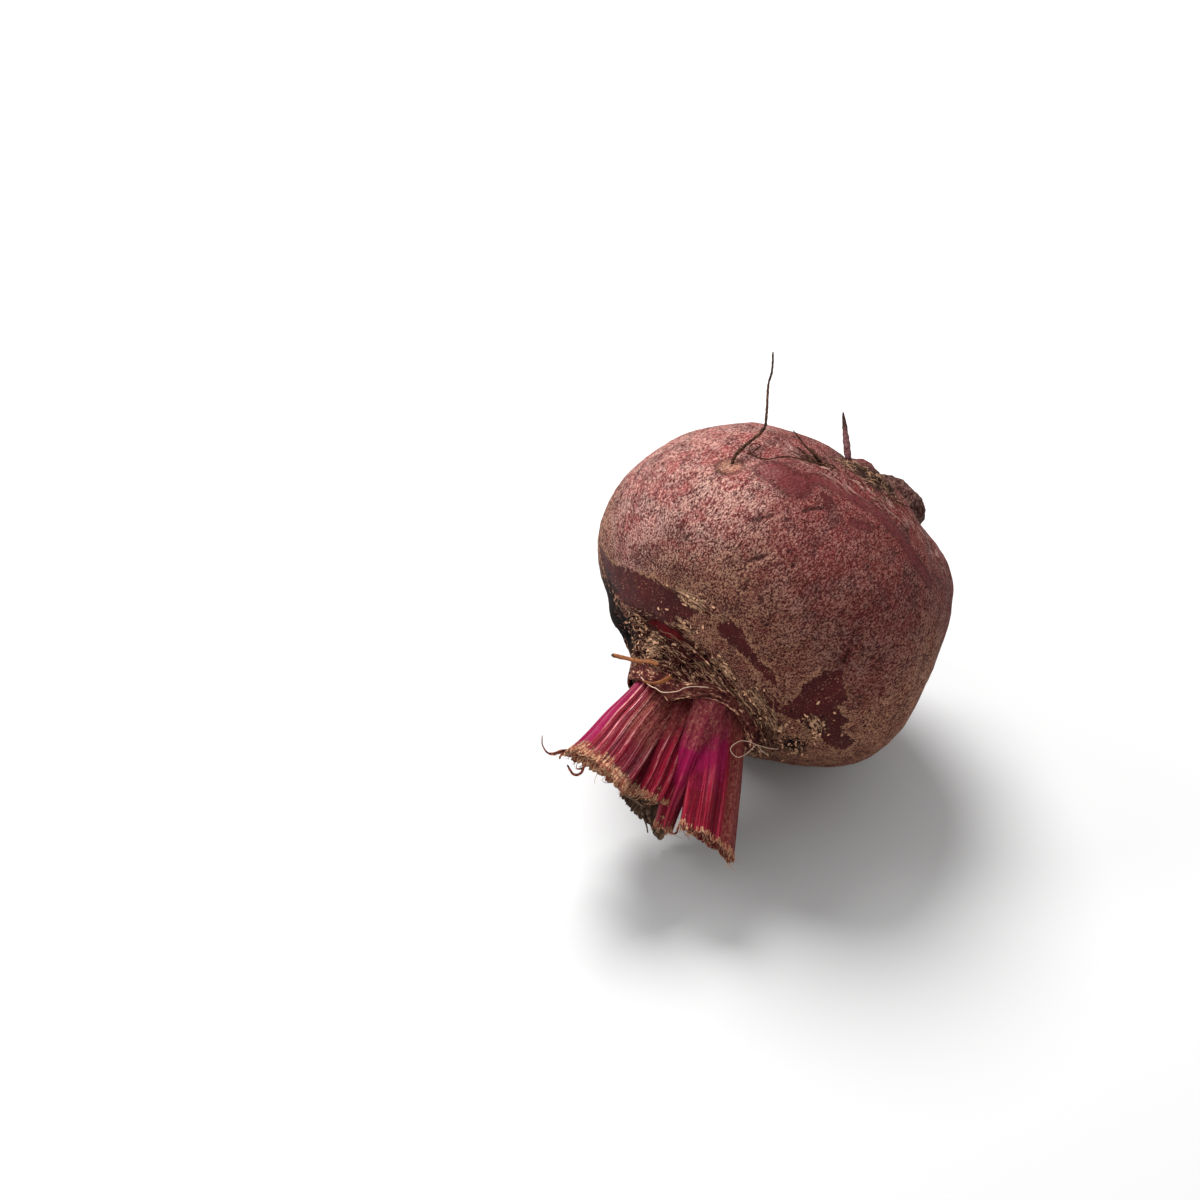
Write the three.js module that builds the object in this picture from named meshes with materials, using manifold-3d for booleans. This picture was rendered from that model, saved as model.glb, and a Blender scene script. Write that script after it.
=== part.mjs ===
// A beetroot with its leaves cut off short, lying on its side.
// Units are millimetres. The plant is drawn the way it grows: +Z out of its crown, with the
// centre of its swollen root at zero. It is then laid down: +Z is up, the crown points along -Y
// and a little downwards, and the origin is the middle of the small flat spot that it rests on.
import * as THREE from "three";
import { mergeVertices } from "three/addons/utils/BufferGeometryUtils.js";
import Module from "manifold-3d";

const wasm = await Module();
wasm.setup();

// Driving dimensions.
const GLOBE_RADIUS = 45; // the swollen root at its widest
const GLOBE_DEPTH = 33; // from the widest ring to the hollow round the tap root
const NECK_RADIUS = 15; // the corky neck that carries the leaf stalks
const CROWN_REACH = 39.5; // from the centre to the rim of the neck
const TAIL_RADIUS = 8; // the broken tap root
const TAIL_REACH = 43.2; // from the centre to the end of the tap root
const BEND_TURN = -32; // the side that the crown and the tap root bend to
const AXIS_TILT = 16.7; // degrees that the crown points below level
const REST_CUT = 0.7; // how much of the globe is pressed flat where it rests
const CLEARANCE = 0.35; // the gap round a stalk where it is seated
const SEAT_DEPTH = 5; // how deep a stalk is seated in the crown
const RIB_HEIGHT = 0.45; // the ribs down the outside of a stalk
const HOLLOW = 2.2; // how far the pith has shrunk back in a cut stalk

const ROOT_RINGS = 56;
const ROOT_SEGMENTS = 60;
const STALK_RINGS = 6;
const BACK_SIDES = 20;
const INSIDE_SIDES = 8;
const ROOTLET_SIDES = 6;

const SKIN = { color: 0x6b3a38, roughness: 0.85, metalness: 0 };
const STALK = { color: 0x8c1236, roughness: 0.5, metalness: 0 };
const YOUNG_STALK = { color: 0xa01248, roughness: 0.45, metalness: 0 };
const WITHERED = { color: 0x3a2a1e, roughness: 0.95, metalness: 0 };

const radians = THREE.MathUtils.degToRad;
const lerp = THREE.MathUtils.lerp;
const vector = (values) => new THREE.Vector3(...values);

// A direction from the globe's centre: degrees round the plant's axis, and down from its crown.
function direction(turn, drop) {
  const out = Math.sin(radians(drop));
  return new THREE.Vector3(
    out * Math.cos(radians(turn)),
    out * Math.sin(radians(turn)),
    Math.cos(radians(drop)),
  );
}

// A smooth hill of height 1 that falls away over a given width.
const hill = (distance, width) => Math.exp(-((distance / width) ** 2));

function seededRandom(seed) {
  let state = seed;
  return () => {
    state = (state * 1664525 + 1013904223) % 4294967296;
    return state / 4294967296;
  };
}

// ---- Solids from rings ----

// A closed body through rings of equal length. Each ring runs anticlockwise about the way the
// rings go, and a point closes each end.
function loft(rings, first, last) {
  const sides = rings[0].length;
  const index = [];
  for (let r = 0; r + 1 < rings.length; r++) {
    for (let s = 0; s < sides; s++) {
      const a = r * sides + s;
      const b = r * sides + ((s + 1) % sides);
      index.push(a, b, b + sides, a, b + sides, a + sides);
    }
  }
  const firstPoint = rings.length * sides;
  const lastRing = (rings.length - 1) * sides;
  for (let s = 0; s < sides; s++) {
    const next = (s + 1) % sides;
    index.push(firstPoint, next, s);
    index.push(firstPoint + 1, lastRing + s, lastRing + next);
  }
  return new THREE.BufferGeometry().setFromPoints([...rings.flat(), first, last]).setIndex(index);
}

function solidOf(geometry) {
  const bare = new THREE.BufferGeometry();
  bare.setAttribute("position", geometry.getAttribute("position"));
  bare.setIndex(geometry.getIndex());
  const merged = mergeVertices(bare, 1e-4);
  return new wasm.Manifold(new wasm.Mesh({
    numProp: 3,
    vertProperties: merged.getAttribute("position").array,
    triVerts: new Uint32Array(merged.getIndex().array),
  }));
}

function geometryOf(solid) {
  const mesh = solid.getMesh();
  const geometry = new THREE.BufferGeometry();
  geometry.setAttribute("position", new THREE.BufferAttribute(mesh.vertProperties, 3));
  geometry.setIndex(new THREE.BufferAttribute(mesh.triVerts, 1));
  geometry.computeVertexNormals();
  return geometry;
}

// The biggest body of a solid, without the scraps that a cut may leave.
function biggest(solid) {
  return solid.decompose().reduce((a, b) => (b.volume() > a.volume() ? b : a));
}

// ---- The root ----

// Half of the root's section, from the end of the tap root to the middle of the crown:
// [along the axis, radius].
const ROOT_PROFILE = [
  [-TAIL_REACH, 0.3],
  [-TAIL_REACH, TAIL_RADIUS * 0.6],
  [-TAIL_REACH + 2, TAIL_RADIUS * 0.9],
  [-TAIL_REACH + 5, TAIL_RADIUS],
  [-GLOBE_DEPTH + 0.5, TAIL_RADIUS * 1.15],
  [-GLOBE_DEPTH + 1, TAIL_RADIUS * 1.5],
  [-GLOBE_DEPTH, GLOBE_RADIUS * 0.36],
  [-GLOBE_DEPTH * 0.97, GLOBE_RADIUS * 0.5],
  [-GLOBE_DEPTH * 0.86, GLOBE_RADIUS * 0.65],
  [-GLOBE_DEPTH * 0.68, GLOBE_RADIUS * 0.785],
  [-GLOBE_DEPTH * 0.43, GLOBE_RADIUS * 0.895],
  [-GLOBE_DEPTH * 0.2, GLOBE_RADIUS * 0.96],
  [GLOBE_DEPTH * 0.08, GLOBE_RADIUS],
  [GLOBE_DEPTH * 0.36, GLOBE_RADIUS * 0.97],
  [GLOBE_DEPTH * 0.6, GLOBE_RADIUS * 0.88],
  [GLOBE_DEPTH * 0.77, GLOBE_RADIUS * 0.75],
  [GLOBE_DEPTH * 0.91, GLOBE_RADIUS * 0.6],
  [CROWN_REACH - 7.5, NECK_RADIUS * 1.35],
  [CROWN_REACH - 4.5, NECK_RADIUS * 1.1],
  [CROWN_REACH - 1.5, NECK_RADIUS],
  [CROWN_REACH, NECK_RADIUS * 0.97],
  [CROWN_REACH + 0.3, NECK_RADIUS * 0.86],
  [CROWN_REACH - 1.5, NECK_RADIUS * 0.7],
  [CROWN_REACH - 1.5, NECK_RADIUS * 0.4],
  [CROWN_REACH - 1, 0.3],
];

// Swellings and, below zero, hollows: [turn, drop, height in mm, spread in degrees].
const SWELLINGS = [
  [98, 103, -1, 8], // the groove that the side roots grow from, from its upper end ...
  [91, 117, -1.8, 9],
  [85, 130, -2.4, 9],
  [74, 143, -2.6, 9],
  [62, 153, -4, 9], // ... to the matted hollow beside the tap root
  [95, 166, 7.5, 8], // the shoulder beyond that hollow
  [116, 132, -0.8, 16],
  [60, 133, 1.2, 12],
  [-12, 134, 1.3, 14],
  [28, 143, -1.2, 12],
  [-22, 97, -2, 24],
  [-55, 48, -3.4, 20],
  [-176, 48, -2.4, 20],
  [145, 104, 1.4, 30],
  [-90, 72, 1.5, 32], // the underside is fullest near the crown, below the weight
];

// The plant grew a little crooked.
function bend(z) {
  const crown = 0.009 * Math.max(z - 20, 0) ** 2;
  const tail = 6.5 * THREE.MathUtils.smoothstep(-z, 24, 42);
  return direction(BEND_TURN, 90).multiplyScalar(crown + tail);
}

// Corky rings and old leaf scars round the neck.
function cork(z, turn) {
  const neck = hill(z - CROWN_REACH + 4, 6);
  const rings = Math.sin(z * 1.3 + 0.8 * Math.sin(3 * turn + 1));
  const scars = Math.sin(7 * turn + 0.9 * z) + 0.6 * Math.sin(13 * turn - 1.1 * z);
  return neck * (0.35 * rings + 0.32 * scars);
}

// The rim of the neck stands higher on one side.
function rimSlant(z, turn) {
  return 1.8 * THREE.MathUtils.smoothstep(z, 30, 39) * Math.cos(turn - radians(125));
}

function rootPoint(z, radius, turn) {
  const p = vector([radius * Math.cos(turn), radius * Math.sin(turn), z]).add(bend(z));
  p.z += rimSlant(z, turn);
  const out = p.clone().normalize();
  let height = radius > 2 ? cork(z, turn) : 0;
  for (const [at, drop, rise, spread] of SWELLINGS) {
    const away = THREE.MathUtils.radToDeg(out.angleTo(direction(at, drop)));
    height += rise * hill(away, spread);
  }
  return p.addScaledVector(out, height);
}

function rootBody() {
  const curve = new THREE.SplineCurve(ROOT_PROFILE.map(([z, r]) => new THREE.Vector2(z, r)));
  const rings = curve.getSpacedPoints(ROOT_RINGS).map(({ x, y }) =>
    Array.from({ length: ROOT_SEGMENTS }, (_, s) =>
      rootPoint(x, y, (s / ROOT_SEGMENTS) * 2 * Math.PI)));
  return solidOf(loft(rings, middle(rings[0]), middle(rings.at(-1))));
}

// ---- Side roots, and other thin round things that have grown from a bigger piece ----

// Points down the middle, then the radius at the foot and at the tip.
const LONG_SIDE_ROOT = {
  path: [[-7, 41.5, -2], [-8.4, 43.4, -6.5], [-9.2, 41, -16.2], [-11.2, 40.8, -20],
    [-17.5, 39.5, -28], [-20.2, 38.8, -32.5], [-24.6, 37.4, -37.8]],
  foot: 1.1,
  tip: 0.32,
};
const SHORT_SIDE_ROOT = {
  path: [[4, 19, -26.5], [2.3, 23.1, -30], [-1.6, 26.2, -34.5], [-4.4, 28.4, -37.6]],
  foot: 1.5,
  tip: 0.4,
};
const DRY_SLIVER = {
  path: [[1, 14.5, 36.5], [-4.5, 14.2, 37], [-8.9, 10.8, 37], [-17.4, 7.8, 38.2]],
  foot: 0.45,
  tip: 0.5,
};
const LONG_PEEL = {
  path: [[-6.5, 7.4, 62.5], [-10.3, 6.2, 64.8], [-13.1, 4.9, 66.4], [-15.7, 5.4, 65.8],
    [-16.9, 6.8, 64.2]],
  foot: 0.7,
  tip: 0.35,
};
const SHORT_PEEL = {
  path: [[-4, 7.4, 62], [-3.1, 5.4, 66], [-4.5, 4.9, 67.4], [-7, 5.8, 66.6]],
  foot: 0.5,
  tip: 0.35,
};

function thinBody({ path, foot, tip }) {
  const curve = new THREE.CatmullRomCurve3(path.map(vector));
  const steps = path.length * 4;
  const rings = [];
  for (let i = 0; i <= steps; i++) {
    const centre = curve.getPointAt(i / steps);
    const along = curve.getTangentAt(i / steps);
    const across = new THREE.Vector3(1, 0, 0).cross(along).normalize();
    const out = along.clone().cross(across);
    const radius = lerp(foot, tip, Math.sqrt(i / steps));
    rings.push(Array.from({ length: ROOTLET_SIDES }, (_, s) => {
      const angle = (s / ROOTLET_SIDES) * 2 * Math.PI;
      return centre.clone()
        .addScaledVector(across, radius * Math.cos(angle))
        .addScaledVector(out, radius * Math.sin(angle));
    }));
  }
  return solidOf(loft(rings, curve.getPointAt(0), curve.getPointAt(1)));
}

// ---- Leaf stalks ----

// Where each stalk leaves the crown and where it is cut, its width at both, its thickness, the
// turn that its ribbed back faces, how much it is rounded, and how far its cut slants.
const STALKS = [
  { name: "stalk_wide", seed: 11, from: [12.6, 0.8, 37], to: [26.8, -9.8, 60.2], width: [12.5, 14.5],
    thick: 5.6, faces: 40, camber: 3, slant: 3, ribs: 3, finish: STALK },
  { name: "stalk_ribbed", seed: 23, from: [-2.2, 4.8, 38], to: [0.7, 7.2, 65], width: [12, 19],
    thick: 5.4, faces: 92, camber: 3.4, slant: 1, ribs: 6, finish: STALK,
    peels: [LONG_PEEL, SHORT_PEEL] },
  { name: "stalk_inner", seed: 35, from: [5.4, 4.2, 37], to: [11.2, -0.8, 60.5], width: [8.5, 12],
    thick: 4.6, faces: 44, camber: 1.6, slant: -1, ribs: 4, finish: STALK },
  { name: "stalk_narrow", seed: 47, from: [8, -2.4, 37], to: [14.4, -9, 61.5], width: [5, 6.5],
    thick: 3.4, faces: 30, camber: 0.6, slant: 0, ribs: 2, finish: YOUNG_STALK },
  { name: "stalk_withered", seed: 59, from: [4, -9, 37], to: [3.2, -19.4, 58.5], width: [9, 19],
    thick: 2, faces: -156, camber: 1, slant: -2.5, ribs: 3, finish: WITHERED },
  { name: "stalk_left", seed: 61, from: [-6.4, -0.8, 37], to: [-5.6, -3, 58], width: [9, 11.5],
    thick: 5.4, faces: 172, camber: 2.8, slant: 1, ribs: 4, finish: STALK },
  { name: "stalk_back", seed: 73, from: [-3, -7.6, 37], to: [-3.2, -12.8, 56], width: [8, 10.5],
    thick: 5, faces: -128, camber: 2.4, slant: 0, ribs: 4, finish: STALK },
  { name: "stalk_under", seed: 85, from: [9.6, -7.4, 37], to: [16.8, -18.4, 54], width: [8.5, 11],
    thick: 5.2, faces: -42, camber: 2.4, slant: 1, ribs: 4, finish: STALK },
  { name: "bud_long", seed: 97, from: [2, -3.2, 37], to: [4.6, -5, 51], width: [4.5, 4.5],
    thick: 3.6, faces: -60, camber: 0.5, slant: 0, ribs: 1, finish: YOUNG_STALK },
  { name: "bud_short", seed: 13, from: [0.5, 0.2, 37], to: [2.2, -0.6, 47], width: [4.5, 4],
    thick: 3, faces: 100, camber: 0.5, slant: 0, ribs: 1, finish: YOUNG_STALK },
];

// The points round a stalk's section: how far across it from -1 to 1, and 1 for its back or -1
// for its inside.
function sectionSteps() {
  const steps = [];
  for (let i = 0; i < BACK_SIDES; i++) steps.push([1 - (2 * i) / BACK_SIDES, 1]);
  for (let i = 0; i < INSIDE_SIDES; i++) steps.push([(2 * i) / INSIDE_SIDES - 1, -1]);
  return steps;
}

// The same for the plain form that makes room for a stalk.
function roomSteps() {
  const sides = BACK_SIDES;
  return Array.from({ length: sides }, (_, i) => {
    const angle = (2 * Math.PI * i) / sides;
    return [Math.cos(angle), angle < Math.PI ? 1 : -1];
  });
}

// A ring of points round a stalk, with its frame: along it, out of its back, and across it.
function stalkFrame(stalk) {
  const from = vector(stalk.from);
  const to = vector(stalk.to);
  const along = to.clone().sub(from).normalize();
  const out = direction(stalk.faces, 90);
  out.addScaledVector(along, -out.dot(along)).normalize();
  return { from, to, along, out, across: out.clone().cross(along) };
}

const middle = (points) => points.reduce((a, b) => a.clone().add(b)).divideScalar(points.length);

// A stalk has a ribbed, rounded back and a torn, hollow end.
function stalkBody(stalk) {
  const { from, to, along, out, across } = stalkFrame(stalk);
  const start = from.clone().addScaledVector(along, -SEAT_DEPTH);
  const random = seededRandom(stalk.seed);
  const steps = sectionSteps();
  const torn = steps.map(() => 1.4 * (random() - 0.5));
  const ring = (s, narrower = 1, thinner = 1, sunk = 0) => {
    const centre = start.clone().lerp(to, s);
    const half = (lerp(stalk.width[0], stalk.width[1], s) / 2) * narrower;
    return steps.map(([u, side], i) => {
      const edge = Math.sqrt(1 - u * u);
      const rib = side > 0 ? RIB_HEIGHT * edge * Math.cos(Math.PI * stalk.ribs * (u + 1)) : 0;
      const thick = side * edge * (stalk.thick / 2) * thinner;
      const round = stalk.camber * (1 - u * u);
      return centre.clone()
        .addScaledVector(across, u * half)
        .addScaledVector(out, thick + rib * thinner + round)
        .addScaledVector(along, s < 1 ? 0 : stalk.slant * u + torn[i] - sunk);
    });
  };
  const rings = Array.from({ length: STALK_RINGS + 1 }, (_, i) => ring(i / STALK_RINGS));
  rings.push(ring(1, 0.9, 0.6, 0.3), ring(1, 0.8, 0.3, HOLLOW));
  return solidOf(loft(rings, middle(rings[0]), middle(rings.at(-1))));
}

// The room that a stalk takes up, with the clearance round it.
function stalkRoom(stalk) {
  const { from, to, along, out, across } = stalkFrame(stalk);
  const start = from.clone().addScaledVector(along, -SEAT_DEPTH);
  const rings = Array.from({ length: STALK_RINGS + 1 }, (_, r) => {
    const s = r / STALK_RINGS;
    const past = r === 0 ? -CLEARANCE : (r === STALK_RINGS ? 2 + Math.abs(stalk.slant) : 0);
    const centre = start.clone().lerp(to, s).addScaledVector(along, past);
    const half = lerp(stalk.width[0], stalk.width[1], s) / 2 + CLEARANCE;
    return roomSteps().map(([u, side]) => {
      const edge = Math.sqrt(1 - u * u);
      const thick = stalk.thick / 2 + CLEARANCE + (side > 0 ? RIB_HEIGHT : 0);
      const round = stalk.camber * (1 - u * u);
      return centre.clone()
        .addScaledVector(across, u * half)
        .addScaledVector(out, side * edge * thick + round);
    });
  });
  return solidOf(loft(rings, middle(rings[0]), middle(rings.at(-1))));
}

// ---- Laying it down ----

// The middle of the flat spot, once the body is cut level with the floor.
function restMiddle(solid) {
  const { vertProperties, numProp } = solid.getMesh();
  const spot = new THREE.Box3();
  for (let i = 0; i < vertProperties.length; i += numProp) {
    const p = new THREE.Vector3().fromArray(vertProperties, i);
    if (p.z < 0.001) spot.expandByPoint(p);
  }
  return spot.getCenter(new THREE.Vector3());
}

const floor = solidOf(new THREE.BoxGeometry(300, 300, 20).translate(0, 0, -10));
const tilt = new THREE.Matrix4().makeRotationX(radians(90 + AXIS_TILT));
const tilted = rootBody().transform(tilt.elements);
const lift = -tilted.boundingBox().min[2] - REST_CUT;
const rest = restMiddle(tilted.translate([0, 0, lift]).subtract(floor));
const lay = (solid) => solid.transform(tilt.elements).translate([-rest.x, -rest.y, lift]);

let root = lay(rootBody());
for (const grown of [LONG_SIDE_ROOT, SHORT_SIDE_ROOT, DRY_SLIVER]) {
  root = root.add(lay(thinBody(grown)));
}
for (const stalk of STALKS) root = root.subtract(lay(stalkRoom(stalk)));

const beetroot = new THREE.Group();
function add(name, solid, finish) {
  const material = new THREE.MeshStandardMaterial(finish);
  const mesh = new THREE.Mesh(geometryOf(biggest(solid)), material);
  mesh.name = name;
  beetroot.add(mesh);
}

add("root", root.subtract(floor), SKIN);
STALKS.forEach((stalk, i) => {
  let solid = lay(stalkBody(stalk));
  for (const peel of stalk.peels ?? []) solid = solid.add(lay(thinBody(peel)));
  for (const earlier of STALKS.slice(0, i)) solid = solid.subtract(lay(stalkRoom(earlier)));
  add(stalk.name, solid, stalk.finish);
});

export default beetroot;
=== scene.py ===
"""A beetroot that lies on its side, with its leaf stalks cut off short.

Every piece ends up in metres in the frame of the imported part: +Z is up, and the crown points
along -Y and a little downwards. Its form is worked out the way the plant grows, in millimetres,
with +Z out of the crown and the middle of the swollen globe at zero, and is then laid down.
"""
import math
import random
from types import SimpleNamespace

import bpy
import numpy as np
from bpy.props import FloatProperty, FloatVectorProperty, IntProperty, PointerProperty
from mathutils import Matrix, Vector, noise
from mathutils.bvhtree import BVHTree


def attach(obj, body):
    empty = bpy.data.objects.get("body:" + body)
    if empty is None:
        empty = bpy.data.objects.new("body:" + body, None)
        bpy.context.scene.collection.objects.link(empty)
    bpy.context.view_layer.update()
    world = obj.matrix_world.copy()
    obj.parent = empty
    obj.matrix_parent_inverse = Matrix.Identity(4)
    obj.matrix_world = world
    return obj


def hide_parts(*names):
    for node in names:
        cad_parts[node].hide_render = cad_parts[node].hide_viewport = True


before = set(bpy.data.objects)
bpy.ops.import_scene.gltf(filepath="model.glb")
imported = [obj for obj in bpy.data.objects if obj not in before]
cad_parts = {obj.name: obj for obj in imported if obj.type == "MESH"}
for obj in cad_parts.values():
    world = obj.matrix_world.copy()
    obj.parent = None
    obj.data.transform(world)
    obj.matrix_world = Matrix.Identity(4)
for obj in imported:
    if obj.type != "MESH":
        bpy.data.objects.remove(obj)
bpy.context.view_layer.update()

bl_info = {
    "name": "Beetroot",
    "version": (1, 0, 0),
    "blender": (4, 5, 0),
    "location": "3D View > Sidebar > Beetroot",
    "description": "Grows the skin, stalks, side roots and dry flakes of a beetroot",
    "category": "Object",
}

# ---- The way it grew and the way it lies ----

MM = 0.001
CROWN_DIP = 16.7
LAID_DOWN = math.radians(90 + CROWN_DIP)
GLOBE_MIDDLE = np.array([0.00036, -0.001742, 0.045953])
GROWTH_AXES = np.array(Matrix.Rotation(LAID_DOWN, 3, "X"))


def laid(points):
    """Growth millimetres to the part's metres."""
    return np.asarray(points, float) @ GROWTH_AXES.T * MM + GLOBE_MIDDLE


def grown(points):
    """The part's metres to growth millimetres."""
    return (np.asarray(points, float) - GLOBE_MIDDLE) * 1000 @ GROWTH_AXES


def aim(turn, drop):
    """A direction from the globe's middle: degrees round the plant's axis, and down from its crown."""
    turn, drop = np.radians(turn), np.radians(drop)
    return np.stack([np.sin(drop) * np.cos(turn), np.sin(drop) * np.sin(turn),
                     np.cos(drop) + 0 * turn], -1)


def unit(vectors):
    """The same directions, each one unit long."""
    return vectors / np.maximum(np.linalg.norm(vectors, axis=-1, keepdims=True), 1e-12)


def apart(out, turn, drop):
    """Degrees between directions and one place on the globe."""
    return np.degrees(np.arccos(np.clip(out @ aim(turn, drop), -1, 1)))


def turn_of(points):
    """How many degrees round the plant's axis each growth point is."""
    return np.degrees(np.arctan2(points[:, 1], points[:, 0]))


def hill(distance, width):
    """1 at no distance, falling away smoothly over the width."""
    return np.exp(-((distance / width) ** 2))


def rise(value, low, high):
    """0 below low, 1 above high, and a smooth way between."""
    t = np.clip((value - low) / (high - low), 0, 1)
    return t * t * (3 - 2 * t)


def lumps(points, size, seed=0):
    """Smooth noise from about -1 to 1 at each point. size is in the points' own unit."""
    shift = Vector((13.7 * seed + 0.5, 7.3 * seed + 0.2, 3.9 * seed + 0.8))
    return np.array([noise.noise(Vector(p) + shift) for p in np.asarray(points, float) / size])


def smooth_line(points, count):
    """Evenly spaced points along a smooth curve through the given ones."""
    p = np.asarray(points, float)
    p = np.vstack([p[:1], p, p[-1:]])
    t = np.linspace(0, 1, 30, endpoint=False)[:, None]
    spans = []
    for a, b, c, d in zip(p, p[1:], p[2:], p[3:]):
        v, w = (c - a) / 2, (d - b) / 2
        spans.append((2 * b - 2 * c + v + w) * t**3 + (3 * c - 3 * b - 2 * v - w) * t**2 + v * t + b)
    line = np.vstack(spans + [p[-1:]])
    gone = np.r_[0, np.cumsum(np.linalg.norm(np.diff(line, axis=0), axis=1))]
    even = np.linspace(0, gone[-1], count)
    return np.stack([np.interp(even, gone, axis) for axis in line.T], -1)


# ---- The root's form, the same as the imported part's ----

GLOBE_RADIUS = 45
GLOBE_DEPTH = 33
NECK_RADIUS = 15
CROWN_REACH = 39.5
TAIL_RADIUS = 8
TAIL_REACH = 43.2
BEND_TURN = -32

ROOT_PROFILE = [
    (-TAIL_REACH, 0), (-TAIL_REACH, TAIL_RADIUS * 0.6), (-TAIL_REACH + 2, TAIL_RADIUS * 0.9),
    (-TAIL_REACH + 5, TAIL_RADIUS), (-GLOBE_DEPTH + 0.5, TAIL_RADIUS * 1.15),
    (-GLOBE_DEPTH + 1, TAIL_RADIUS * 1.5), (-GLOBE_DEPTH, GLOBE_RADIUS * 0.36),
    (-GLOBE_DEPTH * 0.97, GLOBE_RADIUS * 0.5), (-GLOBE_DEPTH * 0.86, GLOBE_RADIUS * 0.65),
    (-GLOBE_DEPTH * 0.68, GLOBE_RADIUS * 0.785), (-GLOBE_DEPTH * 0.43, GLOBE_RADIUS * 0.895),
    (-GLOBE_DEPTH * 0.2, GLOBE_RADIUS * 0.96), (GLOBE_DEPTH * 0.08, GLOBE_RADIUS),
    (GLOBE_DEPTH * 0.36, GLOBE_RADIUS * 0.97), (GLOBE_DEPTH * 0.6, GLOBE_RADIUS * 0.88),
    (GLOBE_DEPTH * 0.77, GLOBE_RADIUS * 0.75), (GLOBE_DEPTH * 0.91, GLOBE_RADIUS * 0.6),
    (CROWN_REACH - 7.5, NECK_RADIUS * 1.35), (CROWN_REACH - 4.5, NECK_RADIUS * 1.1),
    (CROWN_REACH - 1.5, NECK_RADIUS), (CROWN_REACH, NECK_RADIUS * 0.97),
    (CROWN_REACH + 0.3, NECK_RADIUS * 0.86), (CROWN_REACH - 1.5, NECK_RADIUS * 0.7),
    (CROWN_REACH - 1.5, NECK_RADIUS * 0.4), (CROWN_REACH - 1, 0),
]

# Swellings and, below zero, hollows: turn, drop, height in mm, spread in degrees.
SWELLINGS = [
    (98, 103, -1, 8), (91, 117, -1.8, 9), (85, 130, -2.4, 9), (74, 143, -2.6, 9), (62, 153, -4, 9),
    (95, 166, 7.5, 8), (116, 132, -0.8, 16), (60, 133, 1.2, 12), (-12, 134, 1.3, 14),
    (28, 143, -1.2, 12), (-22, 97, -2, 24), (-55, 48, -3.4, 20), (-176, 48, -2.4, 20),
    (145, 104, 1.4, 30), (-90, 72, 1.5, 32),
]


def tail_lean(z):
    """How far the broken tap root leans over, in mm."""
    return 6.5 * rise(-z, 24, 42)


def root_form(z, radius, turn):
    """Growth points on the root's smooth surface."""
    p = np.stack([radius * np.cos(turn), radius * np.sin(turn), z + 0 * turn], -1)
    lean = 0.009 * np.maximum(z - 20, 0) ** 2 + tail_lean(z)
    p += lean[..., None] * aim(BEND_TURN, 90)
    p[..., 2] += 1.8 * rise(z, 30, 39) * np.cos(turn - math.radians(125))
    out = unit(p)
    rings = np.sin(z * 1.3 + 0.8 * np.sin(3 * turn + 1))
    scars = np.sin(7 * turn + 0.9 * z) + 0.6 * np.sin(13 * turn - 1.1 * z)
    height = hill(z - CROWN_REACH + 4, 6) * (0.35 * rings + 0.32 * scars) * (radius > 2)
    for at, drop, up, spread in SWELLINGS:
        height = height + up * hill(apart(out, at, drop), spread)
    return p + out * height[..., None]


# ---- Small helpers for pieces ----


def deselect():
    if bpy.context.object and bpy.context.object.mode != "OBJECT":
        bpy.ops.object.mode_set(mode="OBJECT")
    bpy.ops.object.select_all(action="DESELECT")


def make_active(piece):
    deselect()
    piece.select_set(True)
    bpy.context.view_layer.objects.active = piece


def places(piece):
    """Where each vertex is, in metres."""
    co = np.empty(len(piece.data.vertices) * 3, np.float32)
    piece.data.vertices.foreach_get("co", co)
    return co.reshape(-1, 3).astype(float)


def move_to(piece, points):
    piece.data.vertices.foreach_set("co", np.asarray(points, np.float32).ravel())
    piece.data.update()


def normals(piece):
    """The way out of the piece at each vertex."""
    out = np.empty(len(piece.data.vertices) * 3, np.float32)
    piece.data.vertex_normals.foreach_get("vector", out)
    return out.reshape(-1, 3).astype(float)


def remember(piece, name, values):
    """Keeps a value or a vector at every vertex for the material."""
    values = np.asarray(values, np.float32)
    kind = "FLOAT_VECTOR" if values.ndim == 2 else "FLOAT"
    layer = piece.data.attributes.get(name) or piece.data.attributes.new(name, kind, "POINT")
    layer.data.foreach_set("vector" if values.ndim == 2 else "value", values.ravel())


def close_up(piece):
    """Merges a seam and the poles, turns the faces outwards and shades them smooth."""
    make_active(piece)
    bpy.ops.object.mode_set(mode="EDIT")
    bpy.ops.mesh.select_all(action="SELECT")
    bpy.ops.mesh.remove_doubles(threshold=1e-6)
    bpy.ops.mesh.normals_make_consistent(inside=False)
    bpy.ops.object.mode_set(mode="OBJECT")
    bpy.ops.object.shade_smooth()


def flat_grid(name, across, along, size=1):
    """A flat square sheet, the start of every sheet-like piece."""
    deselect()
    bpy.ops.mesh.primitive_grid_add(x_subdivisions=across, y_subdivisions=along, size=size)
    piece = bpy.context.active_object
    piece.name = piece.data.name = name
    return piece


def rolled_sheet(name, sides, rings, form, kept=None):
    """A closed piece from a flat grid, rolled up so that one way of the grid runs round it and the
    other along it from pole to pole. form turns the two shares into metres, and kept are values
    that the material needs."""
    piece = flat_grid(name, sides, rings)
    round_it, along_it = places(piece).T[:2] + 0.5
    for key, values in (kept or {}).items():
        remember(piece, key, values(round_it, along_it))
    move_to(piece, form(round_it, along_it))
    close_up(piece)
    return piece


def thicken(piece, thickness):
    """Turns a sheet into a wall, inwards from where it is."""
    solid = piece.modifiers.new("Thickness", "SOLIDIFY")
    solid.thickness = thickness
    bpy.ops.object.modifier_apply(modifier=solid.name)
    bpy.ops.object.shade_smooth()


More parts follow.
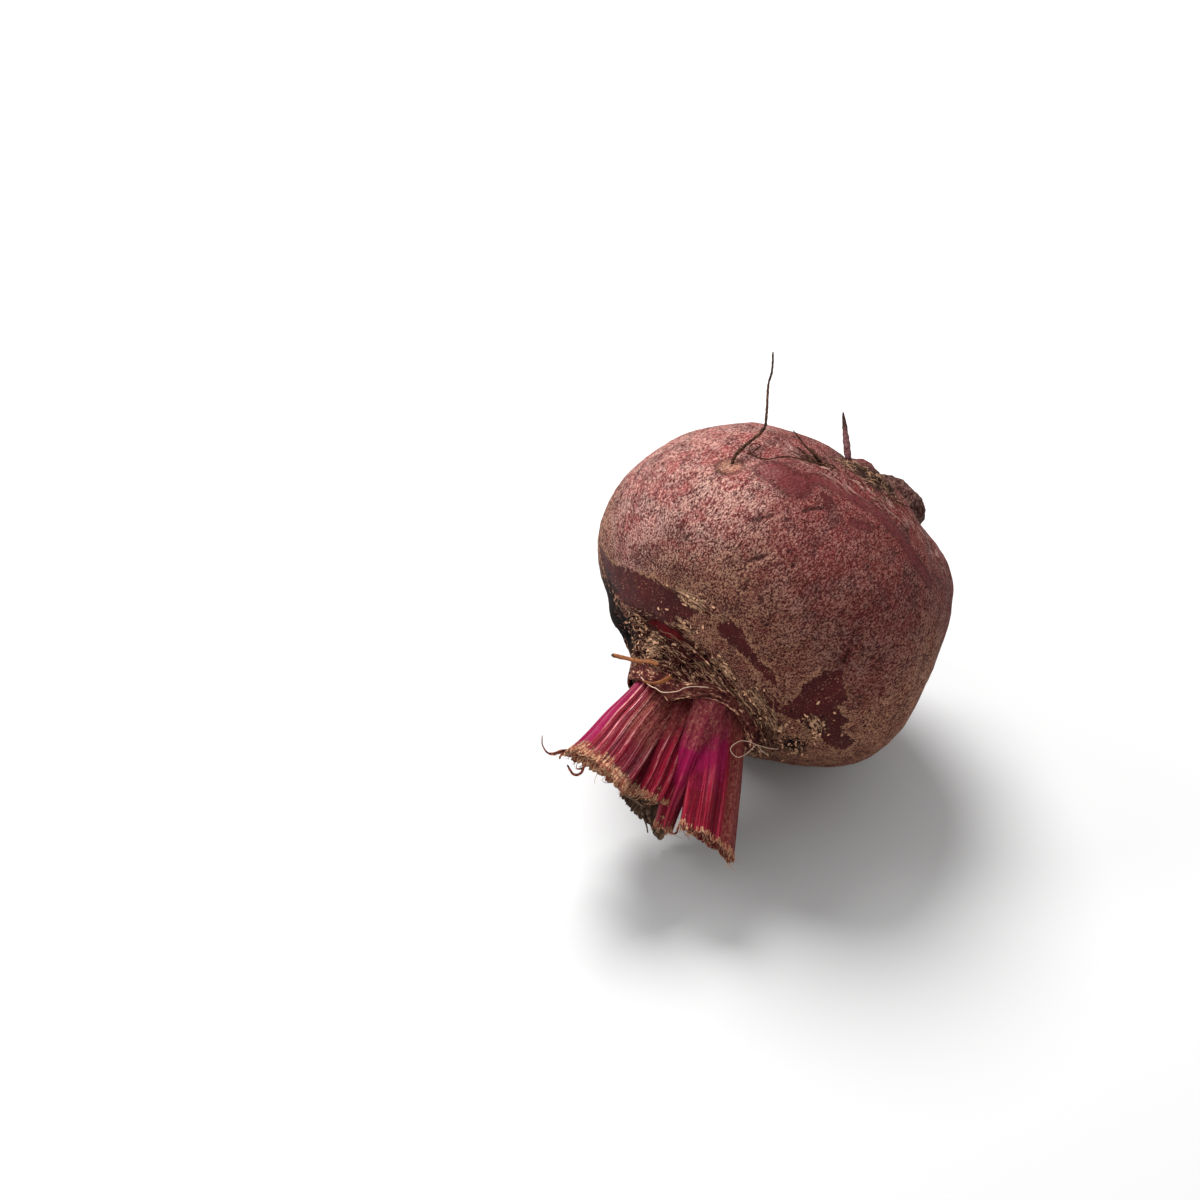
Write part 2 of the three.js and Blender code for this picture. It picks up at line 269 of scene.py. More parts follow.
def set_aside(piece, name):
    """Keeps a finished mesh to be copied, without its object."""
    mesh = piece.data
    mesh.name = name
    mesh.use_fake_user = True
    bpy.data.objects.remove(piece)
    return mesh


def copy_of(mesh):
    """A new piece with a mesh of its own."""
    piece = bpy.data.objects.new(mesh.name, mesh.copy())
    bpy.context.scene.collection.objects.link(piece)
    return piece


def finish_piece(piece, material, slot):
    """Gives the piece its material and hangs it on the root, which all pieces ride on."""
    piece.data.materials.clear()
    piece.data.materials.append(material)
    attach(piece, "root")
    return piece


def toned(piece, tone):
    """Keeps one tone for the whole piece, from 0 for dark to 1 for pale."""
    remember(piece, "tone", np.full(len(piece.data.vertices), tone))
    return piece


def joined(pieces, name):
    """One named piece from several."""
    deselect()
    for piece in pieces:
        piece.select_set(True)
    bpy.context.view_layer.objects.active = pieces[0]
    if len(pieces) > 1:
        bpy.ops.object.join()
    piece = bpy.context.view_layer.objects.active
    piece.name = piece.data.name = name
    return piece


def blank_strand(rings, sides):
    """A straight strand one unit long, which every root, hair and fibre is a bent copy of."""
    name = f"blank_strand_{rings}_{sides}"
    if name in bpy.data.meshes:
        return bpy.data.meshes[name]
    deselect()
    bpy.ops.mesh.primitive_circle_add(vertices=sides, radius=1, fill_type="TRIFAN")
    piece = bpy.context.active_object
    bpy.ops.object.mode_set(mode="EDIT")
    bpy.ops.mesh.select_all(action="SELECT")
    for _ in range(rings):
        bpy.ops.mesh.extrude_region_move(TRANSFORM_OT_translate={"value": (0, 0, 1 / rings)})
    bpy.ops.mesh.select_all(action="SELECT")
    bpy.ops.mesh.normals_make_consistent(inside=False)
    bpy.ops.object.mode_set(mode="OBJECT")
    bpy.ops.object.shade_smooth()
    return set_aside(piece, name)


def strand(points, foot, tip, rings=24, sides=8, rough=0.0, flat=1.0, power=1.0, seed=1):
    """A bent, tapering copy of the blank strand along growth points. Radii are in mm."""
    piece = copy_of(blank_strand(rings, sides))
    line = smooth_line(points, rings + 1)
    along = unit(np.gradient(line, axis=0))
    across = np.empty_like(along)
    side = np.cross(along[0], (0.31, 0.17, 0.93))
    for i, way in enumerate(along):
        side = unit(side - way * (side @ way))
        across[i] = side
    up = np.cross(along, across)
    co = places(piece)
    level = np.clip(np.rint(co[:, 2] * rings).astype(int), 0, rings)
    share = level / rings
    radius = foot + (tip - foot) * share**power
    if rough:
        radius = radius * (1 + rough * lumps(np.c_[co[:, :2] * 0.8, share * rings * 0.35], 1, seed))
    radius = radius * np.where(level == rings, 0.55, 1)
    at = line[level] + radius[:, None] * (co[:, :1] * across[level] + co[:, 1:2] * flat * up[level])
    move_to(piece, laid(at))
    remember(piece, "along", share)
    return piece


# ---- Building materials ----


class Wire:
    """What a node puts out. Sums written with it, such as wire * 0.5 + 1, become Math nodes."""

    def __init__(self, socket):
        self.socket = socket
        self.tree = socket.id_data

    def __add__(self, other):
        return math_of("ADD", self, other)

    def __radd__(self, other):
        return math_of("ADD", other, self)

    def __sub__(self, other):
        return math_of("SUBTRACT", self, other)

    def __rsub__(self, other):
        return math_of("SUBTRACT", other, self)

    def __mul__(self, other):
        return math_of("MULTIPLY", self, other)

    def __rtruediv__(self, other):
        return math_of("DIVIDE", other, self)

    def __abs__(self):
        return math_of("ABSOLUTE", self)


def feed(value, socket):
    """Links a wire to a socket, or sets the socket to a plain value."""
    if isinstance(value, Wire):
        socket.id_data.links.new(value.socket, socket)
    else:
        socket.default_value = value


def put(tree, kind, inputs, out=0, **settings):
    """Adds one node with its inputs and settings, and gives the wire of what it puts out."""
    node = tree.nodes.new("ShaderNode" + kind)
    for key, value in settings.items():
        setattr(node, key, value)
    for key, value in inputs.items():
        feed(value, node.inputs[key])
    return Wire(node.outputs[out])


def math_of(way, *values):
    tree = next(value.tree for value in values if isinstance(value, Wire))
    return put(tree, "Math", dict(enumerate(values)), operation=way)


def larger(first, second):
    return math_of("MAXIMUM", first, second)


def mixed(share, first, second):
    """The second colour over the first one, where share says so."""
    colours = (c if isinstance(c, Wire) else (*c[:3], 1) for c in (first, second))
    return put(share.tree, "Mix", dict(zip((0, 6, 7), (share, *colours))), 2, data_type="RGBA")


def band(value, low, high, bottom=0.0, top=1.0):
    """A smooth way from bottom to top while the value goes from low to high."""
    ends = {"From Min": low, "From Max": high, "To Min": bottom, "To Max": top}
    return put(value.tree, "MapRange", {"Value": value, **ends}, interpolation_type="SMOOTHSTEP")


def kept_value(tree, name, vector=False):
    """A value that remember() has kept at every vertex."""
    return put(tree, "Attribute", {}, "Vector" if vector else "Fac", attribute_name=name)


def noise_of(vector, scale, detail=2.0, roughness=0.5):
    inputs = {"Vector": vector, "Scale": scale, "Detail": detail, "Roughness": roughness}
    return put(vector.tree, "TexNoise", inputs, "Fac")


def stretched(vector, factors):
    return put(vector.tree, "VectorMath", {0: vector, 1: factors}, operation="MULTIPLY")


def shifted(vector, by):
    return put(vector.tree, "VectorMath", {0: vector, 1: by}, operation="ADD")


def millimetres(tree):
    """The piece's own coordinates, in mm."""
    return stretched(put(tree, "TexCoord", {}, "Object"), (1000, 1000, 1000))


def start_group(name, inputs, output):
    """A node group that turns a vector and named values, each with its default, into one value."""
    tree = bpy.data.node_groups.new(name, "ShaderNodeTree")
    tree.interface.new_socket("Vector", in_out="INPUT", socket_type="NodeSocketVector")
    for key, value in inputs.items():
        socket = tree.interface.new_socket(key, in_out="INPUT", socket_type="NodeSocketFloat")
        socket.default_value = value
    tree.interface.new_socket(output, in_out="OUTPUT", socket_type="NodeSocketFloat")
    given = [Wire(tree.nodes.new("NodeGroupInput").outputs[key]) for key in ("Vector", *inputs)]
    return given, tree.nodes.new("NodeGroupOutput").inputs[output]


def flecks_group():
    """Small irregular flecks: how big (in mm), how many and how soft their edges are."""
    given, out = start_group("Flecks", {"Size": 1.0, "Amount": 0.5, "Softness": 0.05}, "Mask")
    place, size, amount, softness = given
    grain = noise_of(place, 1.0 / size, 3.0, 0.6)
    edge = 0.8 - amount * 0.6
    feed(band(grain, edge - softness, edge + softness), out)


def specks_group():
    """Tiny round dots, as on a stalk's skin: how far apart (in mm) and how big a share each is."""
    (place, spacing, size), out = start_group("Specks", {"Spacing": 1.0, "Size": 0.2}, "Mask")
    inputs = {"Vector": place, "Scale": 1.0 / spacing, "Randomness": 1.0}
    distance = put(place.tree, "TexVoronoi", inputs, "Distance")
    feed(band(distance, size * 0.6, size, 1.0, 0.0), out)


def fibres_group():
    """Fine fibres along Z of the given vector: how wide and how long one is, in mm, and how sharp."""
    given, out = start_group("Fibres", {"Width": 0.5, "Length": 8.0, "Sharpness": 0.5}, "Height")
    place, width, length, sharpness = given
    thin = 1.0 / width
    factors = put(place.tree, "CombineXYZ", {"X": thin, "Y": thin, "Z": 1.0 / length})
    grain = noise_of(stretched(place, factors), 1.0, 3.0, 0.55)
    spread = 0.35 - sharpness * 0.28
    feed(band(grain, 0.5 - spread, 0.5 + spread), out)


def use_group(name, maker, vector, inputs):
    """The output of a shared node group, which is made when it is first needed."""
    if name not in bpy.data.node_groups:
        maker()
    node = vector.tree.nodes.new("ShaderNodeGroup")
    node.node_tree = bpy.data.node_groups[name]
    feed(vector, node.inputs["Vector"])
    for key, value in inputs.items():
        feed(value, node.inputs[key.capitalize()])
    return Wire(node.outputs[0])


def flecks(vector, **inputs):
    return use_group("Flecks", flecks_group, vector, inputs)


def specks(vector, **inputs):
    return use_group("Specks", specks_group, vector, inputs)


def fibres(vector, **inputs):
    return use_group("Fibres", fibres_group, vector, inputs)


def start_material(name):
    material = bpy.data.materials.new(name)
    material.use_nodes = True
    tree = material.node_tree
    return material, tree, tree.nodes["Principled BSDF"]


def surface(shader, colour, roughness, height=None, depth=0.0002, shine=0.05):
    """Gives the shader its colour, roughness and relief, which is depth metres deep."""
    shader.inputs["Specular IOR Level"].default_value = shine
    feed(colour, shader.inputs["Base Color"])
    feed(roughness, shader.inputs["Roughness"])
    if height is not None:
        inputs = {"Height": height, "Distance": depth, "Strength": 1.0}
        feed(put(colour.tree, "Bump", inputs), shader.inputs["Normal"])


# ---- The skin of the root ----

# Where the skin is which tone: turn, drop, spread in degrees, and how pink, ruddy and earthy.
TONES = [
    (117, 74, 18, 1, 0, 0.1), (122, 96, 20, 1, 0.1, 0), (95, 76, 14, 0.75, 0.1, 0.3),
    (146, 66, 16, 0.3, 0, 1), (100, 58, 12, 0.2, 0, 0.9), (76, 62, 14, 0.25, 0.1, 0.8),
    (55, 57, 14, 0.1, 0.35, 0.75), (58, 76, 14, 0.2, 0.55, 0.4), (55, 94, 16, 0.2, 0.9, 0.2),
    (30, 98, 16, 0.1, 0.9, 0.35), (66, 112, 12, 0.2, 1, 0.1), (30, 81, 14, 0.15, 0.6, 0.5),
    (4, 98, 14, 0.2, 0.35, 0.8), (-18, 72, 16, 0, 0.15, 1), (-36, 58, 16, 0, 0.1, 1),
    (92, 118, 12, 0.4, 0.5, 0.2), (-60, 96, 24, 0.1, 0.6, 0.6), (-110, 70, 26, 0.1, 0.2, 1),
    (-150, 104, 26, 0.4, 0.5, 0.3), (178, 76, 22, 0.5, 0.1, 0.7), (160, 118, 22, 0.8, 0.3, 0.2),
    (-90, 130, 26, 0.1, 0.8, 0.4), (20, 130, 22, 0.2, 0.8, 0.3),
]

# Where the outer skin has been rubbed off, as outlines of turn and drop. The last four lie on the
# far side. The raw cut beside the neck is an outline too.
RUBBED = [
    [(21, 45), (25, 51), (26, 54), (30, 57), (31, 65), (28, 69), (21, 67), (16, 65.5), (15, 62),
     (8, 64), (4, 61), (-6, 64), (-12, 61), (-6, 56), (0, 54), (8, 57), (12, 54), (12, 50)],
    [(155, 70), (150, 62), (137, 54), (120, 52), (106, 51), (92, 51), (80, 49), (84, 43), (94, 39),
     (105, 38), (120, 38), (137, 42), (148, 50)],
    [(72, 50), (66, 54), (60, 54), (55, 52.5), (48, 51), (38, 51.5), (34, 49.5), (43, 48), (54, 48),
     (65, 47.5)],
    [(72, 103), (69, 104.5), (66, 103), (66, 100), (69, 101)],
    [(38, 46), (28, 47), (21, 45), (26, 43)],
    [(178, 60), (190, 66), (204, 63), (208, 72), (196, 78), (182, 72)],
    [(250, 52), (262, 49), (275, 55), (268, 63), (254, 60)],
    [(296, 84), (304, 79), (311, 86), (302, 92)],
    [(226, 96), (240, 92), (246, 99), (236, 106), (229, 104)],
]
RAW_CUT = [(117, 34.5), (107, 37.5), (92, 38.5), (80, 36.5), (84, 33.5), (100, 31.5)]

# The tan crusts of the neck: turn, drop, and how far each spreads in degrees both ways.
CRUSTS = [
    (128, 34, 6, 3), (84, 41, 6, 2.5), (84, 51, 8, 2), (112, 29, 9, 3), (52, 38, 9, 2.5),
    (30, 41, 8, 2.5), (8, 53.5, 5, 3), (12, 41, 7, 2.5), (-8, 46, 6, 3), (-70, 40, 20, 4),
    (-130, 38, 20, 4), (114, 26, 10, 3.5),
]

# Round places where the skin is of one kind: turn, drop, spread in degrees, and how strongly.
SPOTS = {
    "matted": [(70, 150, 15, 1), (74, 134, 9, 0.8)],
    "hollow": [(71, 127, 4, 1), (64, 125, 4, 1), (56, 128.5, 4, 1)],
    "calm": [(98, 121, 10, 1), (62, 119, 7, 1), (38, 124, 9, 1)],
    "smooth": [(89, 100, 6, 1), (79, 100, 6, 1)],
    # The next spots are painted shade: dark paint where shade falls on the neck.
    "sooty": [(160, 42, 15, 1.3), (-3, 45, 5, 0.8)],
    "fleshy": [(86, 32, 6, 1), (66, 36, 6, 1), (45, 32, 5, 1)],
    "swollen": [(164, 40, 7, 1.3)],
}

# Where the long side root comes out of its dimple, and how many degrees from it the rim lies.
DIMPLE = (100, 94)
DIMPLE_RIM = 4.2
DIMPLE_SCAB = 2

# Dry streaks that run down towards the tap root, and a smooth ruddy furrow and dent below them.
STREAKS = [(94, 118), (81, 115.5), (74, 115.5), (68, 116.5), (59, 119.5), (50, 122.5), (39, 126),
           (25, 129), (12, 128)]
FURROW = [(76, 108), (64, 111), (55, 114), (43, 114.5), (31, 113), (22, 113)]
DENT = [(58, 103), (53, 106)]
# Short cracks in the skin, from one turn and drop to another.
CRACKS = [
    ((80, 82), (79, 84)), ((78, 85), (77, 86.5)), ((73, 72), (71, 75)), ((69, 64), (70, 67)),
    ((71, 94), (70, 97)), ((70, 97), (68, 99)), ((96, 67), (95, 69)), ((30, 71), (32, 74)),
    ((132, 80), (134, 84)), ((-34, 80), (-32, 84)), ((-80, 96), (-78, 101)), ((-140, 84), (-138, 88)),
]

# How far the skin is from the globe's middle where degrees are turned into mm.
SKIN_REACH = 43


def beside(out, start, end):
    """How far each direction is from the line between two places on the globe, in mm."""
    a, b = aim(*start), aim(*end)
    t = np.clip((out - a) @ (b - a) / ((b - a) @ (b - a)), 0, 1)
    return SKIN_REACH * np.linalg.norm(out - a - t[:, None] * (b - a), axis=1)


def beside_line(out, line):
    """The same from a line through several places."""
    return np.min([beside(out, *ends) for ends in zip(line, line[1:])], axis=0)


def inside_by(out, outline):
    """How far inside an outline on the globe each direction is, in mm, and below zero outside."""
    corners = aim(*np.array(outline, float).T)
    middle = unit(corners.mean(0))
    first = unit(np.cross(middle, (0.1, 0.2, 1)))
    second = np.cross(middle, first)

    def flat(ways):
        angle = np.arccos(np.clip(ways @ middle, -1, 1))
        across = np.stack([ways @ first, ways @ second], -1)
        return SKIN_REACH * angle[:, None] * unit(across)

    p, q = flat(out), flat(corners)
    nearest = np.full(len(p), 1e9)
    inside = np.zeros(len(p), bool)
    for a, b in zip(q, np.roll(q, -1, 0)):
        side = b - a
        t = np.clip(((p - a) @ side) / (side @ side), 0, 1)
        nearest = np.minimum(nearest, np.linalg.norm(p - a - t[:, None] * side, axis=1))
        crosses = (a[1] > p[:, 1]) != (b[1] > p[:, 1])
        with np.errstate(divide="ignore", invalid="ignore"):
            at = a[0] + (p[:, 1] - a[1]) / (b[1] - a[1]) * side[0]
        inside ^= crosses & (p[:, 0] < at)
    return np.where(inside, nearest, -nearest)


def spots(out, kind):
    """How strongly each direction lies in the spots of one kind."""
    return sum(strength * hill(apart(out, turn, drop), spread)
               for turn, drop, spread, strength in SPOTS[kind])


def tone_masks(out):
    """How pink, ruddy and earthy the skin is."""
    weights = np.array([hill(apart(out, turn, at), spread) + 1e-9 for turn, at, spread, *_ in TONES])
    shares = (weights.T @ np.array([t[3:] for t in TONES]) / weights.sum(0)[:, None]).T
    return dict(zip(("pink", "ruddy", "earthy"), shares))


def neck_masks(g, out, drop):
    """Where the neck is corky or crusty, where shade is painted dark on it, and where it shows its flesh."""
    wander = 5 * lumps(g, 11, 1) + 2.5 * lumps(g, 4, 2)
    corky = (1 - rise(drop + wander, 34, 44)) * (g[:, 2] > 10)
    crusty = np.zeros(len(g))
    for turn, at, wide, tall in CRUSTS:
        round_it = (turn_of(g) - turn + 180) % 360 - 180
        crusty = np.maximum(crusty, hill(np.hypot(round_it / wide, (drop - at) / tall), 1.3))
    return {"corky": corky, "crusty": crusty, "sooty": spots(out, "sooty"),
            "fleshy": np.clip(spots(out, "fleshy"), 0, 1)}


def tail_masks(g, out):
    """Where root hairs mat the skin round the tap root, and the hollow beside it, where the material paints
    shade.
    """
    off_axis = g[:, :2] - tail_lean(g[:, 2])[:, None] * aim(BEND_TURN, 90)[:2]
    near_tail = (1 - rise(np.linalg.norm(off_axis, axis=1), 10, 15)) * (g[:, 2] < -26)
    hollow = np.clip(spots(out, "hollow"), 0, 1)
    matted = np.clip(np.clip(spots(out, "matted") + near_tail, 0, 1) + hollow, 0, 1)
    return {"matted": matted, "hollow": hollow}


def worn_masks(out):
    """Where the skin is smooth and cracked, and how many mm inside a rubbed or cut place it is."""
    smooth = spots(out, "smooth") + hill(beside_line(out, FURROW), 2)
    smooth = smooth + 0.8 * hill(beside(out, *DENT), 1.6)
    scuffed = np.max([inside_by(out, outline) for outline in RUBBED], axis=0)
    raw = inside_by(out, RAW_CUT)
    cracked = np.max([hill(beside(out, *ends), 0.5) for ends in CRACKS], axis=0)
    return {"smooth": np.clip(smooth, 0, 1), "scuffed": np.clip(scuffed, -5, 5),
            "raw": np.clip(raw, -5, 5), "cracked": cracked}


def root_masks(g):
    """What the skin is like at each growth point."""
    out = unit(g)
    drop = np.degrees(np.arccos(out[:, 2]))
    turn = np.arctan2(g[:, 1], g[:, 0])
    down = SKIN_REACH * np.radians(drop) + 0.9 * lumps(g, 4, 21)
    from_dimple = apart(out, *DIMPLE)
    return {
        "growth": g, "belt": np.stack([6 * np.cos(turn), 6 * np.sin(turn), down], -1),
        "calm": np.clip(spots(out, "calm"), 0, 1), "wrinkled": hill(beside_line(out, STREAKS), 3),
        "dimple": hill(from_dimple - DIMPLE_RIM, 1), "scabby": hill(from_dimple - DIMPLE_SCAB, 1.8),
        **tone_masks(out), **neck_masks(g, out, drop), **tail_masks(g, out), **worn_masks(out),
    }


# Tones that a user has no need to change: most of them are nearly black.
# Dark cracks, and painted shade in the crease round the dimple.
CRACK_AND_SHADE_BLACK = (0.015, 0.004, 0.004)
PIT_BLACK = (0.006, 0.002, 0.002)
# Painted shade, where shade falls on the neck.
PAINTED_SHADE_BLACK = (0.01, 0.005, 0.006)
MAT_GRAIN = (0.012, 0.006, 0.006)
MAT_SHADE = (0.02, 0.009, 0.007)
NECK_FLESH = (0.13, 0.02, 0.02)
RUDDY_RIDGE = (0.42, 0.16, 0.135)
LIP_BLACK = (0.012, 0.004, 0.004)
STRAW_DARK = (0.16, 0.05, 0.02)
STRAW_TIP = (0.03, 0.015, 0.01)
WITHERED_BLACK = (0.012, 0.008, 0.006)


def wavering(mask, noise_wire, by):
    """A mask whose edge wanders with a noise, by so much."""
    return mask + (noise_wire - 0.5) * by


def skin_grain(tree):
    """The kept values and the noises that the layers of the skin share."""
    kinds = ("pink", "ruddy", "earthy", "corky", "crusty", "sooty", "fleshy", "flaky", "matted", "hollow",
             "calm", "smooth", "scuffed", "raw", "wrinkled", "scabby", "dimple", "cracked")
    skin = SimpleNamespace(**{kind: kept_value(tree, kind) for kind in kinds})
    skin.place = kept_value(tree, "growth", vector=True)
    skin.belt = kept_value(tree, "belt", vector=True)
    skin.moved = shifted(skin.place, (31.0, 17.0, 5.0))
    skin.broad = noise_of(skin.place, 0.11, 3.0, 0.6)
    skin.patchy = noise_of(skin.place, 0.42, 4.0, 0.65)
    skin.bark = noise_of(stretched(skin.place, (1.0, 1.0, 0.5)), 2.2, 4.0, 0.8)
    fine = noise_of(stretched(skin.moved, (1.0, 1.0, 0.6)), 3.3, 1.0, 0.35)
    skin.grain = wavering(fine, skin.bark, 0.35)
    skin.crease = abs(noise_of(stretched(skin.moved, (1.0, 1.0, 0.45)), 1.0, 3.0, 0.55) - 0.5)
    skin.crack = flecks(stretched(skin.moved, (1.0, 1.0, 0.35)), size=1.3, amount=0.2, softness=0.02)
    hoops = stretched(skin.belt, (0.5, 0.5, 1.0))
    skin.strips = noise_of(hoops, 1.3, 3.0, 0.6)
    skin.shreds = noise_of(shifted(hoops, (7.0, 3.0, 11.0)), 2.4, 2.0, 0.55)
    skin.crumbs = noise_of(skin.place, 1.1, 4.0, 0.7) + skin.flaky * 0.1
    return skin


def patched(skin, mask, low, high):
    """A mask with patchy edges."""
    return band(wavering(mask, skin.patchy, 0.9), low, high)


def paint_ground(skin, settings):
    """The skin between its dry ridges, pink, ruddy or earthy by its place."""
    ground = mixed(patched(skin, skin.ruddy, 0.1, 0.95), settings.base, settings.ruddy)
    ground = mixed(patched(skin, skin.pink, 0.1, 1.0), ground, settings.pink)
    ground = mixed(patched(skin, skin.earthy, 0.2, 1.1) * 0.7, ground, settings.earth)
    bruised = flecks(skin.place, size=5.5, amount=0.45, softness=0.1)
    ground = mixed(bruised * 0.65, ground, settings.bruise)
    flushed = flecks(skin.moved, size=3.2, amount=0.42, softness=0.08)
    return mixed(flushed * 0.45, ground, settings.ruddy)


def paint_ridges(skin, settings, ground):
    """Pale dry ridges in patches, most of them where the skin is earthy, dark crevices, and pale specks that
    are partly dry flecks and partly painted glints.
    """
    lively = 1.0 - skin.calm * 0.6
    in_patches = band(noise_of(skin.moved, 0.2, 5.0, 0.65), 0.38, 0.6, 0.35, 1.35)
    dry = (0.3 + skin.earthy * 0.5 + skin.pink * 0.3) * in_patches * lively
    dim = (0.4 + skin.earthy * 0.45) * lively
    paled = mixed(patched(skin, skin.earthy, 0.3, 0.9), settings.bloom, settings.tan)
    paled = mixed(patched(skin, skin.pink, 0.15, 0.9), paled, settings.pale_pink)
    paled = mixed(patched(skin, skin.ruddy, 0.3, 1.0) * 0.6, paled, RUDDY_RIDGE)
    ridge = band(skin.bark - (0.585 - dry * 0.11), -0.03, 0.06)
    colour = mixed(ridge * 0.8, ground, paled)
    colour = mixed(band(skin.bark, 0.48, 0.435) * dim, colour, settings.dark)
    # Pale specks of the grain: partly dry flecks, partly painted glints.
    colour = mixed(band(skin.grain, 0.57, 0.62) * (dry + 0.35), colour, paled)
    colour = mixed(band(skin.grain, 0.42, 0.37) * dim, colour, settings.dark)
    groove = band(skin.crease, 0.05, 0.012) * band(skin.patchy, 0.45, 0.6, 0.0, 0.7)
    colour = mixed(groove, colour, settings.dark)
    return mixed(skin.crack * 0.85, colour, CRACK_AND_SHADE_BLACK)


def paint_rubbed(skin, settings, colour):
    """Thin places that are smooth, rubbed ones with a pale rim, and the raw cut."""
    skin.thin = band(wavering(skin.smooth, skin.bark, 1.6), 0.3, 0.75)
    colour = mixed(skin.thin * 0.8, colour, settings.smooth)
    ragged = (noise_of(stretched(skin.place, (1.0, 1.0, 0.7)), 0.75, 6.0, 0.75) - 0.5) * 6.0
    edge = skin.scuffed + ragged
    skin.rubbed = band(edge, -0.04, 0.04)
    rim = band(edge, -1.6, -0.3) * band(skin.bark, 0.4, 0.52) * band(skin.patchy, 0.42, 0.56, 0.1, 1.0)
    colour = mixed(rim * band(skin.earthy, 0.3, 0.7), colour, settings.tan)
    under = mixed(band(skin.broad, 0.35, 0.65), settings.under, settings.under_dark)
    under = mixed(band(skin.bark, 0.47, 0.41, 0.0, 0.5), under, settings.dark)
    under = mixed(band(skin.bark, 0.55, 0.61, 0.0, 0.15), under, settings.bloom)
    flecked = band(skin.grain, 0.64, 0.74) * band(skin.patchy, 0.44, 0.6, 0.05, 1.0)
    under = mixed(flecked * band(skin.earthy, 0.25, 0.5, 0.0, 0.9), under, settings.tan)
    colour = mixed(skin.rubbed, colour, under)
    edge = skin.raw + ragged * 0.9
    skin.cut = band(edge, -0.5, -0.2)
    flesh = mixed(band(edge, -0.2, 1.0), settings.under, settings.raw)
    flesh = mixed(band(skin.bark, 0.5, 0.4, 0.0, 0.6), flesh, settings.under_dark)
    return mixed(skin.cut, colour, flesh)


def paint_neck(skin, settings, colour):
    """The corky neck: torn strands of tan, brown and nearly black that run round it, and painted shade where
    shade falls on it.
    """
    # Where shade is painted, there are fewer pale flakes and more black pits.
    pale_at = skin.crusty * 0.1 + skin.sooty * -0.1 - skin.fleshy * 0.03
    cork = mixed(band(skin.strips, 0.5, 0.58), settings.cork_dark, settings.cork)
    cork = mixed(skin.fleshy * 0.8, cork, NECK_FLESH)
    for flaking, low, high in ((skin.shreds, 0.56, 0.6), (skin.crumbs, 0.61, 0.65), (skin.grain, 0.62, 0.72)):
        cork = mixed(band(flaking + pale_at, low, high), cork, settings.cork_pale)
    cork = mixed(band(abs(skin.strips - 0.5), 0.06, 0.015, 0.0, 0.9), cork, settings.cork_dark)
    cork = mixed(band(skin.shreds, 0.44, 0.4, 0.0, 0.85), cork, settings.cork_dark)
    cork = mixed(band(skin.crumbs - skin.sooty * 0.1, 0.43, 0.38), cork, PIT_BLACK)
    edge = wavering(larger(skin.corky, skin.crusty), skin.crumbs, 2.2)
    skin.cork = band(edge, 0.35, 0.6) * (1.0 - skin.cut)
    colour = mixed(skin.cork, colour, cork)
    # Painted shade: the neck is painted nearly black where shade falls on it.
    painted_shade_share = band(wavering(skin.sooty, skin.crumbs, 3.0), 0.4, 0.7, 0.0, 0.97)
    return mixed(painted_shade_share, colour, PAINTED_SHADE_BLACK)


def paint_tail(skin, settings, colour):
    """The matted hollow, with painted shade in it, and the broken tap root."""
    mat = mixed(band(skin.crumbs, 0.43, 0.58), settings.tail, settings.tail_pale)
    mat = mixed(band(skin.grain, 0.48, 0.38, 0.0, 0.7), mat, MAT_GRAIN)
    # Painted shade in the hollow.
    shade = skin.hollow + (skin.crumbs - 0.5)
    mat = mixed(band(shade, 0.3, 0.7, 0.0, 0.8), mat, MAT_SHADE)
    ragged = (skin.crumbs - 0.5) * 1.6 + (skin.patchy - 0.5) * 0.8
    return mixed(band(skin.matted + ragged, 0.4, 0.65), colour, mat)


def paint_scars(skin, settings, colour):
    """The wrinkled streaks, the scab round the side root, the cracks, and painted shade in the crease round
    the dimple.
    """
    skin.wrinkle = band(noise_of(skin.belt, 1.4, 3.0, 0.6), 0.53, 0.58) * skin.wrinkled
    colour = mixed(skin.wrinkle * 0.55, colour, settings.pale_pink)
    colour = mixed(skin.scabby * band(skin.bark, 0.42, 0.56) * 0.9, colour, settings.tan)
    # The crease round the dimple is painted dark as shade; the cracks are dark in themselves.
    seams = larger(skin.cracked, skin.dimple * 0.6)
    skin.seams = band(wavering(seams, skin.bark, 3.0), 0.3, 0.8)
    return mixed(skin.seams * 0.75, colour, CRACK_AND_SHADE_BLACK)


def skin_height(skin, bare):
    """The fine relief: bark, grain and creases, flatter where the skin is bare, and chips of cork."""
    height = skin.bark + skin.grain * 0.5 + band(skin.crease, 0.0, 0.1) * 0.35 - skin.crack * 0.8
    height = height * (1.0 - bare * 0.9) - skin.rubbed * 0.25
    chips = (skin.strips + skin.shreds + skin.crumbs) * skin.cork
    return height + chips * 0.9 + skin.wrinkle * 0.5 - skin.seams * 0.6


def skin_material(settings):
    """The root's bark: a saturated ground, dry pale ridges, and what has worn, torn and grown on it."""
    material, tree, shader = start_material("Beetroot skin")
    skin = skin_grain(tree)
    colour = paint_ground(skin, settings)
    for paint in (paint_ridges, paint_rubbed, paint_neck, paint_tail, paint_scars):
        colour = paint(skin, settings, colour)
    bare = larger(skin.rubbed, skin.thin * 0.75)
    surface(shader, colour, 0.75 - bare * 0.2, skin_height(skin, bare), depth=0.0016)
    return material


# In mm: how far the crown stays below the lip's edge, the room round a seated stalk, and how far
# up from the globe's middle the sockets start.
BELOW_LIP = 0.9
SOCKET_ROOM = 0.25
CROWN_FROM = 28


